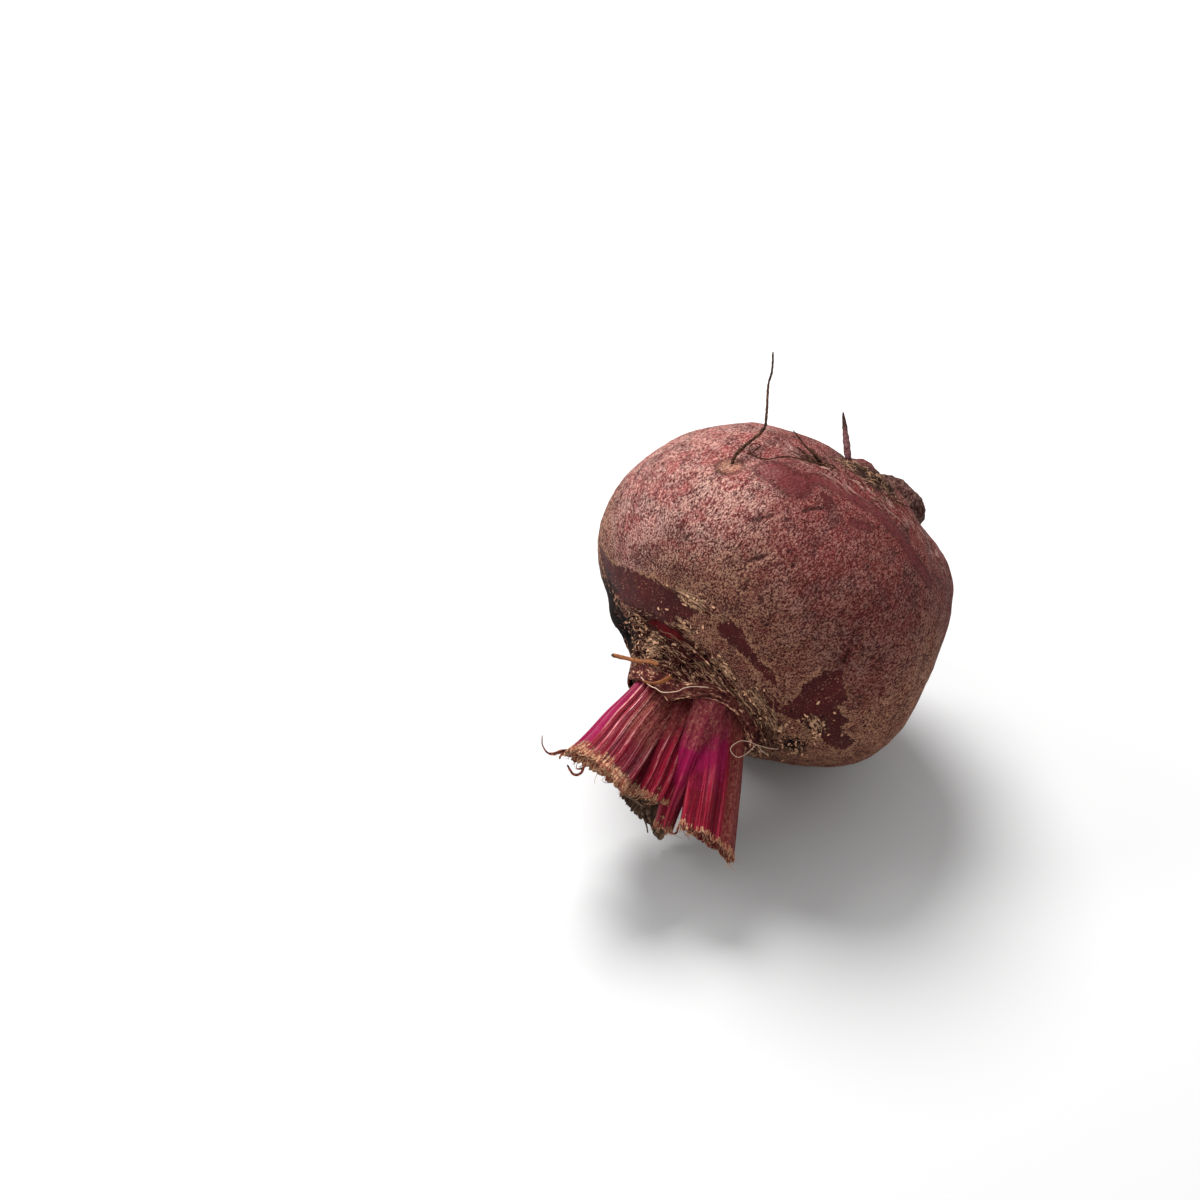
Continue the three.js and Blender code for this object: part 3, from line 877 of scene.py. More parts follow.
def with_sockets(g):
    """Keeps the crown below the lip's edge, and presses it down wherever a stalk is seated in it."""
    g = g.copy()
    turns, drops, reaches = lip_line()
    turn = turn_of(g) % 360
    edge = np.interp(turn, turns, reaches) * np.cos(np.radians(np.interp(turn, turns, drops)))
    g[:, 2] = np.minimum(g[:, 2], edge - BELOW_LIP + 0.1 * (g[:, 2] - edge))
    near = np.flatnonzero(g[:, 2] > CROWN_FROM)
    for stalk in [*STALKS.values(), WITHERED]:
        p = g[near] - stalk.root
        length = p @ stalk.along
        share = length / stalk.length
        half = (stalk.width[0] * (1 - share) + stalk.width[1] * share) / 2 + 0.1
        u = (p @ stalk.across) / half
        rounded = np.sqrt(np.clip(1 - u * u, 0, 1))
        v = p @ stalk.out - stalk.camber * (1 - u * u)
        inside = (abs(u) < 1) & (abs(v) < (stalk.thick / 2 + SOCKET_ROOM) * rounded + 0.1) & (length > 1)
        g[near[inside]] -= stalk.along * (length[inside] - 1)[:, None]
    return g


# The relief that the settings start with, how far the skin stays above the floor, and how finely
# the root is divided.
RELIEF = 0.0003
ABOVE_FLOOR = 0.02 * MM
PROFILE_POINTS = 600
ROOT_SIDES, ROOT_RINGS = 350, 270


def grow_root(settings):
    """The swollen root: its form, the relief of its skin, and what its material needs to know."""
    profile = smooth_line(ROOT_PROFILE, PROFILE_POINTS)
    shares = np.linspace(0, 1, PROFILE_POINTS)

    def form(round_it, along_it):
        z = np.interp(along_it, shares, profile[:, 0])
        radius = np.maximum(np.interp(along_it, shares, profile[:, 1]), 0)
        radius = np.where((along_it < 1e-6) | (along_it > 1 - 1e-6), 0, radius)
        return laid(root_form(z, radius, round_it * 2 * math.pi))

    piece = rolled_sheet("beet_root", ROOT_SIDES, ROOT_RINGS, form)
    g = grown(places(piece))
    masks = root_masks(g)
    for name, values in masks.items():
        remember(piece, name, values)
    height, flaky = skin_relief(g, SimpleNamespace(**masks))
    remember(piece, "flaky", flaky)
    height *= settings.relief / RELIEF
    moved = places(piece) + normals(piece) * height[:, None] * MM
    moved = laid(with_sockets(grown(moved)))
    moved[:, 2] = np.maximum(moved[:, 2], ABOVE_FLOOR)
    move_to(piece, moved)
    return piece


def skin_relief(g, skin):
    """How far the skin stands out at each growth point, in mm, and how flaky its cork is."""
    bare = np.clip(rise(skin.scuffed, -0.4, 0.4) + skin.smooth, 0, 1)
    height = 0.3 * lumps(g, 10, 3) + 0.14 * lumps(g, 4, 4)
    height += (0.09 * lumps(g, 1.9, 5) + 0.06 * lumps(g, 1.2, 6)) * (1 - 0.85 * bare)
    height -= 0.16 * rise(skin.scuffed + 0.5 * lumps(g, 1.6, 7), -0.3, 0.5)
    flaky = 0.7 * lumps(skin.belt, 1.3, 8) + 0.7 * lumps(g, 1.4, 9)
    flaky -= 0.9 * rise(lumps(g, 2.2, 10), 0.25, 0.6)
    height += skin.corky * flaky * 0.75
    height += skin.matted * (0.45 * lumps(g, 1.7, 11) + 0.3 * lumps(g, 0.9, 12))
    height += skin.wrinkled * 0.4 * lumps(skin.belt, 0.9, 13)
    height -= 0.3 * skin.dimple + 0.35 * skin.cracked
    height += spots(unit(g), "swollen")
    return height, flaky


# ---- Places on the finished skin ----


def finished_skin():
    """The root's skin, ready to be met by rays."""
    piece = bpy.data.objects["beet_root"]
    faces = [tuple(p.vertices) for p in piece.data.polygons]
    return BVHTree.FromPolygons([tuple(p) for p in places(piece)], faces)


def on_skin(skin, turn, drop, lift=0.0):
    """The growth point over one place of the skin, lift mm above it, and the way out of it."""
    way = aim(turn, drop)
    middle = laid([0, 0, 0])
    outside = laid(way * 90)
    hit, normal, *_ = skin.ray_cast(Vector(outside), Vector(middle - outside).normalized())
    out = unit(np.array(normal) @ GROWTH_AXES)
    return grown(np.array(hit)) + out * lift, out


def along_skin(skin, line, lifts):
    """Growth points over a line of turns and drops, each lifted off the skin."""
    return [on_skin(skin, turn, drop, lift)[0] for (turn, drop), lift in zip(line, lifts)]


# ---- Side roots ----

LONG_SIDE_ROOT = [(-7, 41.5, -2), (-8.4, 43.4, -6.5), (-9.2, 41, -16.2), (-11.2, 40.8, -20),
                  (-17.5, 39.5, -28), (-20.2, 38.8, -32.5), (-24.6, 37.4, -37.8)]
SHORT_SIDE_ROOT = [(4, 19, -26.5), (2.3, 23.1, -30), (-1.6, 26.2, -34.5), (-4.4, 28.4, -37.6)]
# The dark spikes that stand out of the furrow.
SPIKES = [
    [(4.9, 35.7, -19.2), (2.4, 37.3, -19.6), (0.1, 37.9, -19.9), (-2.2, 38.7, -20.6), (-4.3, 39.4, -21.1)],
    [(4, 36.7, -17.6), (1.4, 37, -18.4), (-1.1, 38.1, -18.4)],
]
# A curl that lies on the skin, by turn and drop, and how far in mm it is lifted off it.
SKIN_CURL = [(80, 116), (84, 114), (91, 110), (94, 104), (99, 103), (102, 104), (103, 107), (100, 107),
             (99, 103), (101, 101)]
CURL_LIFTS = [0.1, 0.4, 0.2, 0.15, 0.2, 0.4, 0.7, 1.1, 1.2, 0.4]
# The loose hairs of the furrow's tuft, by turn and drop.
TUFT_HAIRS = [
    [(79, 117), (84, 119), (90, 119), (95, 120)], [(78, 116), (83, 117), (88, 118), (92, 116)],
    [(77, 117), (81, 120), (86, 122), (92, 123)], [(80, 118), (83, 116), (86, 115), (91, 113)],
    [(76, 116), (79, 118), (82, 121), (84, 124)], [(74, 117), (77, 119), (81, 118), (85, 121)],
    [(81, 117), (85, 117), (89, 116), (93, 113)], [(76, 118), (80, 116), (84, 113), (87, 112)],
]
# The root hairs: how many, and round which turn and drop they lie and how widely.
ROOT_HAIRS = 160
MAT_TURN, MAT_TURN_SPREAD = 65, 8
MAT_DROP, MAT_DROP_SPREAD = 126, 3


def side_root_material(name, bark, pale, tip):
    material, tree, shader = start_material(name)
    grain = noise_of(millimetres(tree), 1.4, 3.0, 0.6)
    colour = mixed(band(grain, 0.42, 0.62), bark, pale)
    colour = mixed(band(kept_value(tree, "along"), 0.65, 0.85, 0.0, 0.85), colour, tip)
    surface(shader, colour, 0.75, grain, 0.0003)
    return material


def furrow_tuft(skin):
    """The spikes, the curl and the loose hairs in the furrow."""
    hairs = [strand(spike, 0.5, 0.09, rings=24, sides=6, rough=0.4, seed=k)
             for k, spike in enumerate(SPIKES)]
    curl = along_skin(skin, SKIN_CURL, CURL_LIFTS)
    hairs.append(strand(curl, 0.2, 0.1, rings=60, sides=6, rough=0.3))
    for k, line in enumerate(TUFT_HAIRS):
        points = along_skin(skin, line, [0.05, 0.3, 0.5, 0.7 + 0.2 * (k % 3)])
        hairs.append(strand(points, 0.16, 0.05, rings=14, sides=5, rough=0.5, seed=k))
    return joined(hairs, "furrow_tuft")


def matted_fibres(skin, count):
    """Short root hairs that mat the hollow beside the tap root."""
    chance = random.Random(23)
    pieces = []
    for i in range(count):
        turn, drop = chance.gauss(MAT_TURN, MAT_TURN_SPREAD), chance.gauss(MAT_DROP, MAT_DROP_SPREAD)
        swing = chance.uniform(0, 2 * math.pi)
        reach = chance.uniform(2, 5)
        bend = chance.uniform(-1.4, 1.4)
        line = [(turn + reach * k / 3 * math.cos(swing + bend * k / 3) * 1.3,
                 drop + reach * k / 3 * math.sin(swing + bend * k / 3)) for k in range(4)]
        lifts = [0.0, chance.uniform(0.1, 0.5), chance.uniform(0.1, 0.8), chance.uniform(0, 0.5)]
        piece = strand(along_skin(skin, line, lifts), 0.09, 0.04, rings=9, sides=5, rough=0.5, seed=i)
        pieces.append(toned(piece, chance.random() ** 2.4))
    return joined(pieces, "matted_fibres")


# ---- Crown ----


def cork_flake_material(settings):
    material, tree, shader = start_material("Dry cork flake")
    tone = kept_value(tree, "tone")
    grain = noise_of(millimetres(tree), 1.3, 4.0, 0.7)
    colour = mixed(tone, settings.cork, settings.cork_pale)
    colour = mixed(band(tone, 0.35, 0.0), colour, settings.cork_dark)
    colour = mixed(band(grain, 0.52, 0.66, 0.0, 0.7), colour, settings.cork_dark)
    surface(shader, colour, 0.9, grain, 0.0004)
    return material


def fibre_material(name, dark, pale):
    material, tree, shader = start_material(name)
    grain = noise_of(millimetres(tree), 0.8, 2.0, 0.6)
    colour = mixed(kept_value(tree, "tone"), dark, pale)
    colour = mixed(band(grain, 0.5, 0.7, 0.0, 0.5), colour, dark)
    surface(shader, colour, 0.7)
    return material


def hair_material(settings):
    material, tree, shader = start_material("Pale hair")
    grain = noise_of(millimetres(tree), 0.5, 2.0, 0.5)
    surface(shader, mixed(grain, settings.hair, settings.fibre), 0.5)
    return material


def straw_material(settings):
    material, tree, shader = start_material("Orange straw")
    streak = noise_of(stretched(millimetres(tree), (0.25, 1.6, 1.6)), 1.0, 3.0, 0.6)
    colour = mixed(band(streak, 0.35, 0.7), settings.straw, STRAW_DARK)
    colour = mixed(band(kept_value(tree, "along"), 0.93, 0.99), colour, STRAW_TIP)
    surface(shader, colour, 0.6, streak, 0.0003)
    return material


LIP_THICKNESS = 0.45 * MM

# The free edge of the papery lip that hangs over the stalks' feet, by turn, drop and distance in
# mm from the globe's middle, and by turn and drop where the lip grows out of the skin.
LIP_EDGE = [(-170, 18, 41.8), (-140, 18.5, 41.6), (-100, 20, 41.6), (-60, 25, 41), (-30, 26.3, 41.2),
            (-13, 28.4, 41.8), (0, 28.6, 40.4), (7, 28.9, 39.8), (14, 30.3, 39.5), (26, 29.9, 39.7),
            (35, 28.3, 39.9), (42, 26.8, 40.2), (50, 23.5, 41.4), (60, 20.7, 43.2), (64, 19, 43.9),
            (68, 17.7, 44.5), (77, 17.5, 43.9), (91, 17.8, 43.2), (106, 16.9, 43.4), (125, 16, 42.8),
            (150, 16.6, 42.1)]
LIP_BASE = [(-170, 24), (-140, 24), (-100, 25), (-60, 30), (-26, 33), (1, 34.5), (12, 34.5), (24, 34),
            (35, 32.6), (44, 30.6), (54, 27.8), (63, 25), (67, 23), (76, 22), (86, 21.5), (98, 21),
            (114, 20.5), (150, 22)]

# The pale hairs along the rim and the slivers of old leaf base, as growth points.
RIM_HAIR = [(-6.5, 11, 39.8), (-5.3, 11.7, 40.5), (-0.7, 13.6, 41.9), (1.5, 14.4, 42), (3.9, 14.9, 42.1),
            (6.9, 15.5, 40.2), (7.6, 15.6, 38.8), (9.2, 15.8, 37.3), (12.2, 15.4, 35.2)]
LOOP_HAIR = [
    (25.4, -5.6, 30.5), (24.8, -2.4, 33), (23.7, 0.6, 35), (22.5, 2.7, 36.3), (21.6, 4.4, 38.2),
    (21.4, 4.6, 41), (23.2, 2.8, 41.1), (23.8, 1.6, 38.5), (23.9, 1.1, 35.4), (24.5, -1.7, 34.7),
    (25.1, -4.2, 33.8),
]
LONG_STRAW = [(1, 14.5, 36.5), (-4.5, 14.2, 37), (-8.9, 10.8, 37), (-17.4, 7.8, 38.2)]
SHORT_STRAW = [(-4.6, 10.8, 40.4), (-3.1, 12.5, 41.3), (0, 14.2, 41.2), (2.3, 15.7, 40.1), (4.2, 16.9, 38)]


def lip_line(line=LIP_EDGE):
    """A line round the neck as its turns, from 0 to 360, and its other values, each a list."""
    table = sorted((turn % 360, *others) for turn, *others in line)
    before = (table[-1][0] - 360, *table[-1][1:])
    after = (table[0][0] + 360, *table[0][1:])
    return np.array([before, *table, after]).T


def lip_drop(turn):
    """How far down from the crown the lip's edge hangs, in degrees."""
    return np.interp(turn % 360, *lip_line()[:2])


def blank_flake():
    """A small curled flake, one unit long and lying flat, which every cork flake is a copy of."""
    if "blank_flake" in bpy.data.meshes:
        return bpy.data.meshes["blank_flake"]
    piece = flat_grid("blank_flake", 5, 3)
    co = places(piece)
    u, v = co[:, 0] * 2, co[:, 1] * 2
    co[:, 1] *= 1 - 0.35 * u**2 - 0.15 * u
    co[:, 2] = 0.12 * v**2 + 0.1 * u**2 + 0.04 * np.sin(5 * u)
    move_to(piece, co)
    thicken(piece, 0.09)
    return set_aside(piece, "blank_flake")


def flake(at, out, heading, tilt, size, tone, seed):
    """One flake on the skin: heading is its way along the skin, and tilt lifts its far end."""
    piece = copy_of(blank_flake())
    way = unit(heading - out * (heading @ out))
    side = np.cross(out, way)
    way = unit(way * math.cos(tilt) + out * math.sin(tilt))
    up = np.cross(way, side)
    co = places(piece)
    ragged = 1 + 0.3 * lumps(co * 2.5, 1, seed)
    co = co * ragged[:, None] + (0.5, 0, 0)
    co *= np.array([size[0], size[1], size[0] * 0.8])
    move_to(piece, laid(at + co[:, :1] * way + co[:, 1:2] * side + co[:, 2:] * up))
    return toned(piece, tone)


def cork_flakes(skin, count):
    """Dry flakes: thick on a few tan crusts, and thinly strewn along the rings between them."""
    chance = random.Random(7)
    pieces = []
    for i in range(count):
        if i % 3:
            turn, drop, wide, tall = chance.choice(CRUSTS)
            turn, drop = chance.gauss(turn, wide), chance.gauss(drop, tall)
        else:
            turn = chance.uniform(-180, 180)
            drop = lip_drop(turn) + 4.5 + 15 * chance.random() ** 1.5
        at, out = on_skin(skin, turn, drop, 0.02)
        if inside_by(aim(turn, drop)[None], RAW_CUT)[0] > -1:
            continue
        round_it = unit(np.cross((0, 0, 1), out))
        swing = chance.gauss(0, 0.6)
        heading = round_it * math.cos(swing) * chance.choice((-1, 1))
        heading = heading + np.cross(out, round_it) * math.sin(swing)
        size = (chance.uniform(0.5, 1.3), chance.uniform(0.25, 0.6))
        pieces.append(flake(at, out, heading, chance.uniform(0, 0.35), size, chance.random(), i))
    return joined(pieces, "cork_flakes")


def loose_fibres(skin, count):
    """Dry fibres that lie round the neck, most of them on its upper side."""
    chance = random.Random(11)
    pieces = []
    for i in range(count):
        turn = chance.uniform(-40, 190) if i % 4 else chance.uniform(-180, 180)
        drop = lip_drop(turn) + 1 + 17 * chance.random() ** 1.3
        reach = chance.uniform(4, 18)
        fall = chance.gauss(0, 1.6)
        lifts = [0.05, chance.uniform(0.1, 0.3), chance.uniform(0.1, 0.4), chance.uniform(0.1, 0.6)]
        line = [(turn + reach * k / 3 / math.sin(math.radians(drop)) ** 0.6,
                 drop + fall * k / 3 + chance.gauss(0, 0.4)) for k in range(4)]
        points = along_skin(skin, line, lifts)
        piece = strand(points, chance.uniform(0.06, 0.13), 0.04, rings=10, sides=5, rough=0.5, seed=i,
                       flat=0.6)
        pieces.append(toned(piece, chance.random() ** 1.2))
    return joined(pieces, "neck_fibres")


def papery_lip(skin):
    """The torn collar of dry skin over the stalks' feet."""
    turns, drops, reaches = lip_line()
    base_turns, base_drops = lip_line(LIP_BASE)

    def form(round_it, up_it):
        turn = round_it * 360
        ring = np.stack([np.cos(np.radians(turn)), np.sin(np.radians(turn))], -1) * 9
        wave = lumps(np.c_[ring, 0 * turn], 1, 41)
        frill = lumps(np.c_[ring * 2.6, 0 * turn], 1, 42)
        edge = np.interp(turn, turns, drops) + 0.5 * wave + 0.6 * frill
        reach = np.interp(turn, turns, reaches) + 0.2 * wave
        foot = np.interp(turn, base_turns, base_drops) + 0.6 * frill
        feet = np.array([on_skin(skin, t, d, -0.45)[0] for t, d in zip(turn, foot)])
        base = np.linalg.norm(feet, axis=1)
        drop = foot + (edge - foot) * up_it
        fold = 0.25 * lumps(np.c_[ring * 1.6, up_it * 2], 1, 43)
        distance = base + (reach - base) * rise(up_it, -0.3, 1.1) + fold * up_it
        return laid(aim(turn, drop) * distance[:, None])

    def belt(round_it, up_it):
        turn = 2 * math.pi * round_it
        return np.c_[6 * np.cos(turn), 6 * np.sin(turn), 6 * up_it]

    kept = {"along": lambda round_it, up_it: up_it, "belt": belt}
    piece = rolled_sheet("papery_lip", 260, 10, form, kept)
    thicken(piece, LIP_THICKNESS)
    return piece


def lip_material(settings):
    material, tree, shader = start_material("Papery lip")
    belt = kept_value(tree, "belt", vector=True)
    grain = noise_of(millimetres(tree), 0.9, 4.0, 0.7)
    fine = noise_of(stretched(belt, (0.6, 0.6, 1.0)), 1.5, 4.0, 0.7)
    colour = mixed(band(grain, 0.44, 0.58), settings.lip_dark, settings.lip)
    pale = band(fine, 0.56, 0.62) * band(grain, 0.42, 0.6, 0.2, 0.9)
    colour = mixed(pale, colour, settings.cork_pale)
    colour = mixed(band(fine, 0.45, 0.39, 0.0, 0.9), colour, LIP_BLACK)
    colour = mixed(band(kept_value(tree, "along"), 0.93, 0.99, 0.0, 0.6), colour, settings.cork)
    surface(shader, colour, 0.7, grain + fine * 0.5, 0.0006)
    return material


# ---- Leaf stalks ----

SEAT_DEPTH = 5
PITH_DEPTH = 2.2
# A stalk is one sheet: this share of it goes along the side, and the rest in over the cut's face.
SIDE_SHARE, FACE_SHARE = 0.8, 0.2
YOUNG = {"look": "Young stalk", "slot": "young_stalk", "sheet": (90, 100)}


def leaf_stalk(start, end, faces, **form):
    """One stalk from its foot to its cut, with the axes along it, out of its ribbed back and
    across it. faces is the turn that its back faces, width is that of foot and cut, camber is how
    hollow its front is and slant how aslant its cut, all in mm, and valley is a groove's depth."""
    start, end = np.array(start, float), np.array(end, float)
    along = unit(end - start)
    out = aim(faces, 90)
    out = unit(out - along * (out @ along))
    usual = {"valley": 0, "look": "Crimson stalk", "slot": "stalk", "sheet": (150, 130)}
    root = start - along * SEAT_DEPTH
    return SimpleNamespace(root=root, length=np.linalg.norm(end - root), along=along, out=out,
                           across=np.cross(out, along), **{**usual, **form})


STALKS = {
    "stalk_wide": leaf_stalk((13.5, 0.6, 36.4), (26.1, -9, 58.9), faces=40, width=(12.5, 15), thick=5.6,
                             camber=3, slant=3, ribs=4, valley=1.17, seed=11, look="Drab stalk"),
    "stalk_ribbed": leaf_stalk((-2.2, 4.8, 38), (0.7, 7.2, 65), faces=92, width=(12, 19), thick=5.4,
                               camber=3.4, slant=1, ribs=8, seed=23, look="Ribbed stalk"),
    "stalk_inner": leaf_stalk((5.4, 4.2, 37), (11.2, -0.8, 60.5), faces=44, width=(8.5, 12), thick=4.6,
                              camber=1.6, slant=-1, ribs=5, seed=35),
    "stalk_narrow": leaf_stalk((11.6, 8.2, 36.3), (15.6, -7.6, 62.1), faces=55, width=(8.6, 4.8),
                               thick=3.4, camber=0.9, slant=0, ribs=2, seed=47, **YOUNG),
    "stalk_left": leaf_stalk((-6.4, -0.8, 37), (-5.6, -3, 58), faces=172, width=(9, 11.5), thick=5.4,
                             camber=2.8, slant=1, ribs=5, seed=61),
    "stalk_back": leaf_stalk((-3, -7.6, 37), (-3.2, -12.8, 56), faces=-128, width=(8, 10.5), thick=5,
                             camber=2.4, slant=0, ribs=5, seed=73),
    "stalk_under": leaf_stalk((9.6, -7.4, 37), (16.8, -18.4, 54), faces=-42, width=(8.5, 11), thick=5.2,
                              camber=2.4, slant=1, ribs=5, seed=85),
    "bud_long": leaf_stalk((2, -3.2, 37), (4.6, -5, 51), faces=-60, width=(4.5, 4.5), thick=3.6,
                           camber=0.5, slant=0, ribs=2, seed=97, **YOUNG),
    "bud_short": leaf_stalk((0.5, 0.2, 37), (2.2, -0.6, 47), faces=100, width=(4.5, 4), thick=3,
                            camber=0.5, slant=0, ribs=2, seed=13, **YOUNG),
}
WITHERED = leaf_stalk((4, -9, 37), (3.2, -19.4, 58.5), faces=-156, width=(9, 19), thick=2,
                      camber=1, slant=-2.5, ribs=3, seed=59)


def side_reached(along_it):
    """How far along the stalk's side each share of the sheet is, up to 1 where the cut starts."""
    return np.clip(along_it / SIDE_SHARE, 0, 1)


def face_reached(along_it):
    """0 all along the side, and up to 1 in the middle of the cut's face."""
    return np.clip((along_it - SIDE_SHARE) / FACE_SHARE, 0, 1)


def rib_wave(stalk, across):
    """From 1 on a rib to -1 in the groove beside it, by how far across the stalk it is."""
    return np.cos(math.pi * stalk.ribs * (across + 1) + 0.5 * np.sin(4 * across + stalk.seed))


def stalk_form(stalk, round_it, along_it):
    """Growth points for shares round and along a stalk's sheet. The cut sinks towards its pith."""
    seed = stalk.seed
    turn = round_it * 2 * math.pi
    u, side = np.cos(turn), np.sin(turn)
    back = np.clip(side, 0, 1)
    s, inward = side_reached(along_it), face_reached(along_it)
    shrink = 1 - inward
    foot_wide, cut_wide = stalk.width
    half = (foot_wide * (1 - s) + cut_wide * s) / 2
    length = stalk.length * s

    def frays(wide, deep, number):
        points = [u * half * wide * shrink, side * deep * shrink, 0 * u + seed]
        return lumps(np.stack(points, -1), 1, seed + number)

    streaks = np.stack([u * (cut_wide / 2) / 0.9 + seed, side * 2.5, length / 60], -1)
    strands = 0.42 * lumps(streaks, 1, seed)
    strands = strands + 0.2 * lumps(streaks * np.array([2.2, 2, 2.5]), 1, seed + 1)
    relief = back * 0.3 * rib_wave(stalk, u) + strands * (0.3 + 0.7 * back)
    valley = -stalk.valley * hill(u - 0.05, 0.22) * back
    thick = (side * stalk.thick / 2 + (relief + valley) * (0.35 + 0.65 * back)) * shrink
    camber = stalk.camber * (1 - (u * shrink) ** 2)
    level = stalk.slant * u * shrink * s
    level = level + rise(s, 0.9, 1) * (0.9 * frays(1.2, 3, 2) + 0.7 * frays(4, 8, 3))
    sunk = PITH_DEPTH * rise(inward, 0.12, 0.8)
    wander = 0.35 * lumps(np.stack([length / 9, 0 * u, 0 * u + seed], -1), 1, seed + 4)
    return (stalk.root + length[:, None] * stalk.along
            + stalk.across * (u * half * shrink + wander)[:, None]
            + stalk.out * (thick + camber)[:, None] + stalk.along * (level - sunk)[:, None])


def grow_stalk(name, stalk):
    """A stalk's piece, with what its material needs to know."""

    def strands(round_it, along_it):
        turn, shrink = round_it * 2 * math.pi, 1 - face_reached(along_it)
        return np.stack([np.cos(turn) * (stalk.width[1] / 2) * shrink,
                         np.sin(turn) * (stalk.thick / 2) * shrink,
                         side_reached(along_it) * stalk.length], -1)

    kept = {
        "rib": lambda r, a: 0.5 + 0.5 * rib_wave(stalk, np.cos(r * 2 * math.pi)),
        "across": lambda r, a: np.cos(r * 2 * math.pi) * (1 - face_reached(a)),
        "side": lambda r, a: np.sin(r * 2 * math.pi),
        "along": lambda r, a: side_reached(a),
        "cut": lambda r, a: face_reached(a),
        "strands": strands,
    }
    return rolled_sheet(name, *stalk.sheet, lambda r, a: laid(stalk_form(stalk, r, a)), kept)


def shrivel(piece):
    """Pushes every point of a dried piece about, in mm."""
    g = grown(places(piece))
    for far, size, seeds in ((1.1, 4, (31, 32, 33)), (0.4, 1.6, (34, 35, 36))):
        g += far * np.stack([lumps(g, size, seed) for seed in seeds], -1)
    move_to(piece, laid(g))


# The shares of a stalk's sheet that are just inside the cut's edge, on it, and on its face.
BELOW_RIM, AT_RIM, ON_FACE = 0.77, 0.798, 0.84


def torn_fringe(chance):
    """The loose ends of the strands round every cut."""
    pieces = []
    for stalk in STALKS.values():
        count = int(stalk.width[1] * 8)
        share = np.array([chance.random() for _ in range(count)])
        inside, rim, face = (stalk_form(stalk, share, np.full(count, level))
                             for level in (BELOW_RIM, AT_RIM, ON_FACE))
        for i in range(count):
            reach = 0.1 + 1.3 * chance.random() ** 3
            sway = stalk.across * chance.gauss(0, 0.7) + stalk.out * chance.gauss(0, 0.5)
            outward = unit(rim[i] - face[i]) * 0.12
            end = rim[i] + (stalk.along + sway) * reach
            line = [inside[i] + outward * 0.3, rim[i] + outward, end,
                    end + (sway * 2 + stalk.along * 0.3) * reach * 0.4]
            piece = strand(line, chance.uniform(0.05, 0.12), 0.04, rings=5, sides=4, rough=0.4, seed=i)
            pieces.append(toned(piece, chance.random() ** 1.5))
    return joined(pieces, "torn_fringe")


# Strips that have peeled off the cut ends and curls of the withered stalk, as growth points, with
# the radii at foot and tip.
PEELS = [
    ([(-6.5, 7.4, 62.5), (-10.3, 6.2, 64.8), (-13.1, 4.9, 66.4), (-15.7, 5.4, 65.8),
      (-16.9, 6.8, 64.2)], 0.75, 0.3),
    ([(-5.5, 7.6, 62.5), (-8, 7, 64.6), (-9.6, 6.4, 65.2), (-9.4, 6.2, 66.6)], 0.6, 0.3),
    ([(-4, 7.4, 62), (-3.1, 5.4, 66), (-4.5, 4.9, 67.4), (-7, 5.8, 66.6)], 0.45, 0.25),
    ([(-1.6, 8.4, 62), (-2.4, 7.4, 65.5), (-3.8, 6.8, 66.4), (-4.6, 7, 65.4)], 0.35, 0.2),
    ([(20.5, -4.8, 57.5), (19.4, -5.6, 59.8), (19.5, -6.9, 61.1), (18.9, -6.9, 62.1),
      (18.3, -6, 62.2)], 0.4, 0.15),
]
CURLS = [
    ([(5, -13, 54), (5.8, -15, 58), (7.1, -18.4, 59.2), (9.3, -20.4, 60.1), (10.6, -19.6, 59.3)], 0.6, 0.25),
    ([(3, -11, 55), (4.4, -14.4, 58.6), (6.3, -17.4, 60), (7.6, -18.6, 61.2)], 0.5, 0.2),
    ([(10, -10.4, 56), (11, -13.4, 60.4), (12.5, -15.6, 61.8), (13.4, -14.9, 60.9)], 0.55, 0.25),
    ([(-0.4, -6.6, 59.6), (1.4, -8.4, 59.7), (2.4, -9.6, 59.3), (5.9, -12.6, 58.2)], 0.7, 0.5),
    ([(-2.4, -10, 58.4), (0, -13.5, 58.6), (2.5, -17.6, 58.2), (4.6, -19.6, 58.6)], 0.5, 0.3),
]


def strips(lines, name):
    """Flat ragged strands, joined."""
    return joined([strand(line, foot, tip, rings=30, sides=8, rough=0.5, flat=0.4, seed=k)
                   for k, (line, foot, tip) in enumerate(lines)], name)


def strip_material(name, outside, inside):
    material, tree, shader = start_material(name)
    grain = noise_of(millimetres(tree), 1.1, 3.0, 0.65)
    colour = mixed(band(grain, 0.42, 0.6), outside, inside)
    surface(shader, colour, 0.75, grain, 0.0004)
    return material


def stalk_grain(tree):
    """The kept values and the noises that the layers of a stalk's skin share."""
    kinds = ("across", "side", "along", "cut", "rib")
    stalk = SimpleNamespace(**{kind: kept_value(tree, kind) for kind in kinds})
    stalk.place = kept_value(tree, "strands", vector=True)
    wide = fibres(stalk.place, width=1.6, length=70.0, sharpness=0.7)
    stalk.wide = wide * 0.5 + stalk.rib * 0.5
    stalk.thin = fibres(stalk.place, width=0.6, length=45.0, sharpness=0.75)
    stalk.hairline = fibres(stalk.place, width=0.26, length=14.0, sharpness=0.5)
    stalk.patchy = noise_of(stalk.place, 0.35, 4.0, 0.65)
    stalk.mottle = noise_of(stretched(stalk.place, (1.0, 1.0, 0.4)), 2.6, 3.0, 0.7)
    stalk.level = wavering(stalk.along, stalk.patchy, 0.5)
    return stalk


def flank(stalk, where, solid):
    """A stripe down a stalk: how far across it is, how wide and how strong. solid is the share of
    its width that is at full strength."""
    centre, width, strength = where
    return band(abs(stalk.across - centre), width * solid, width, 1.0, 0.0) * strength


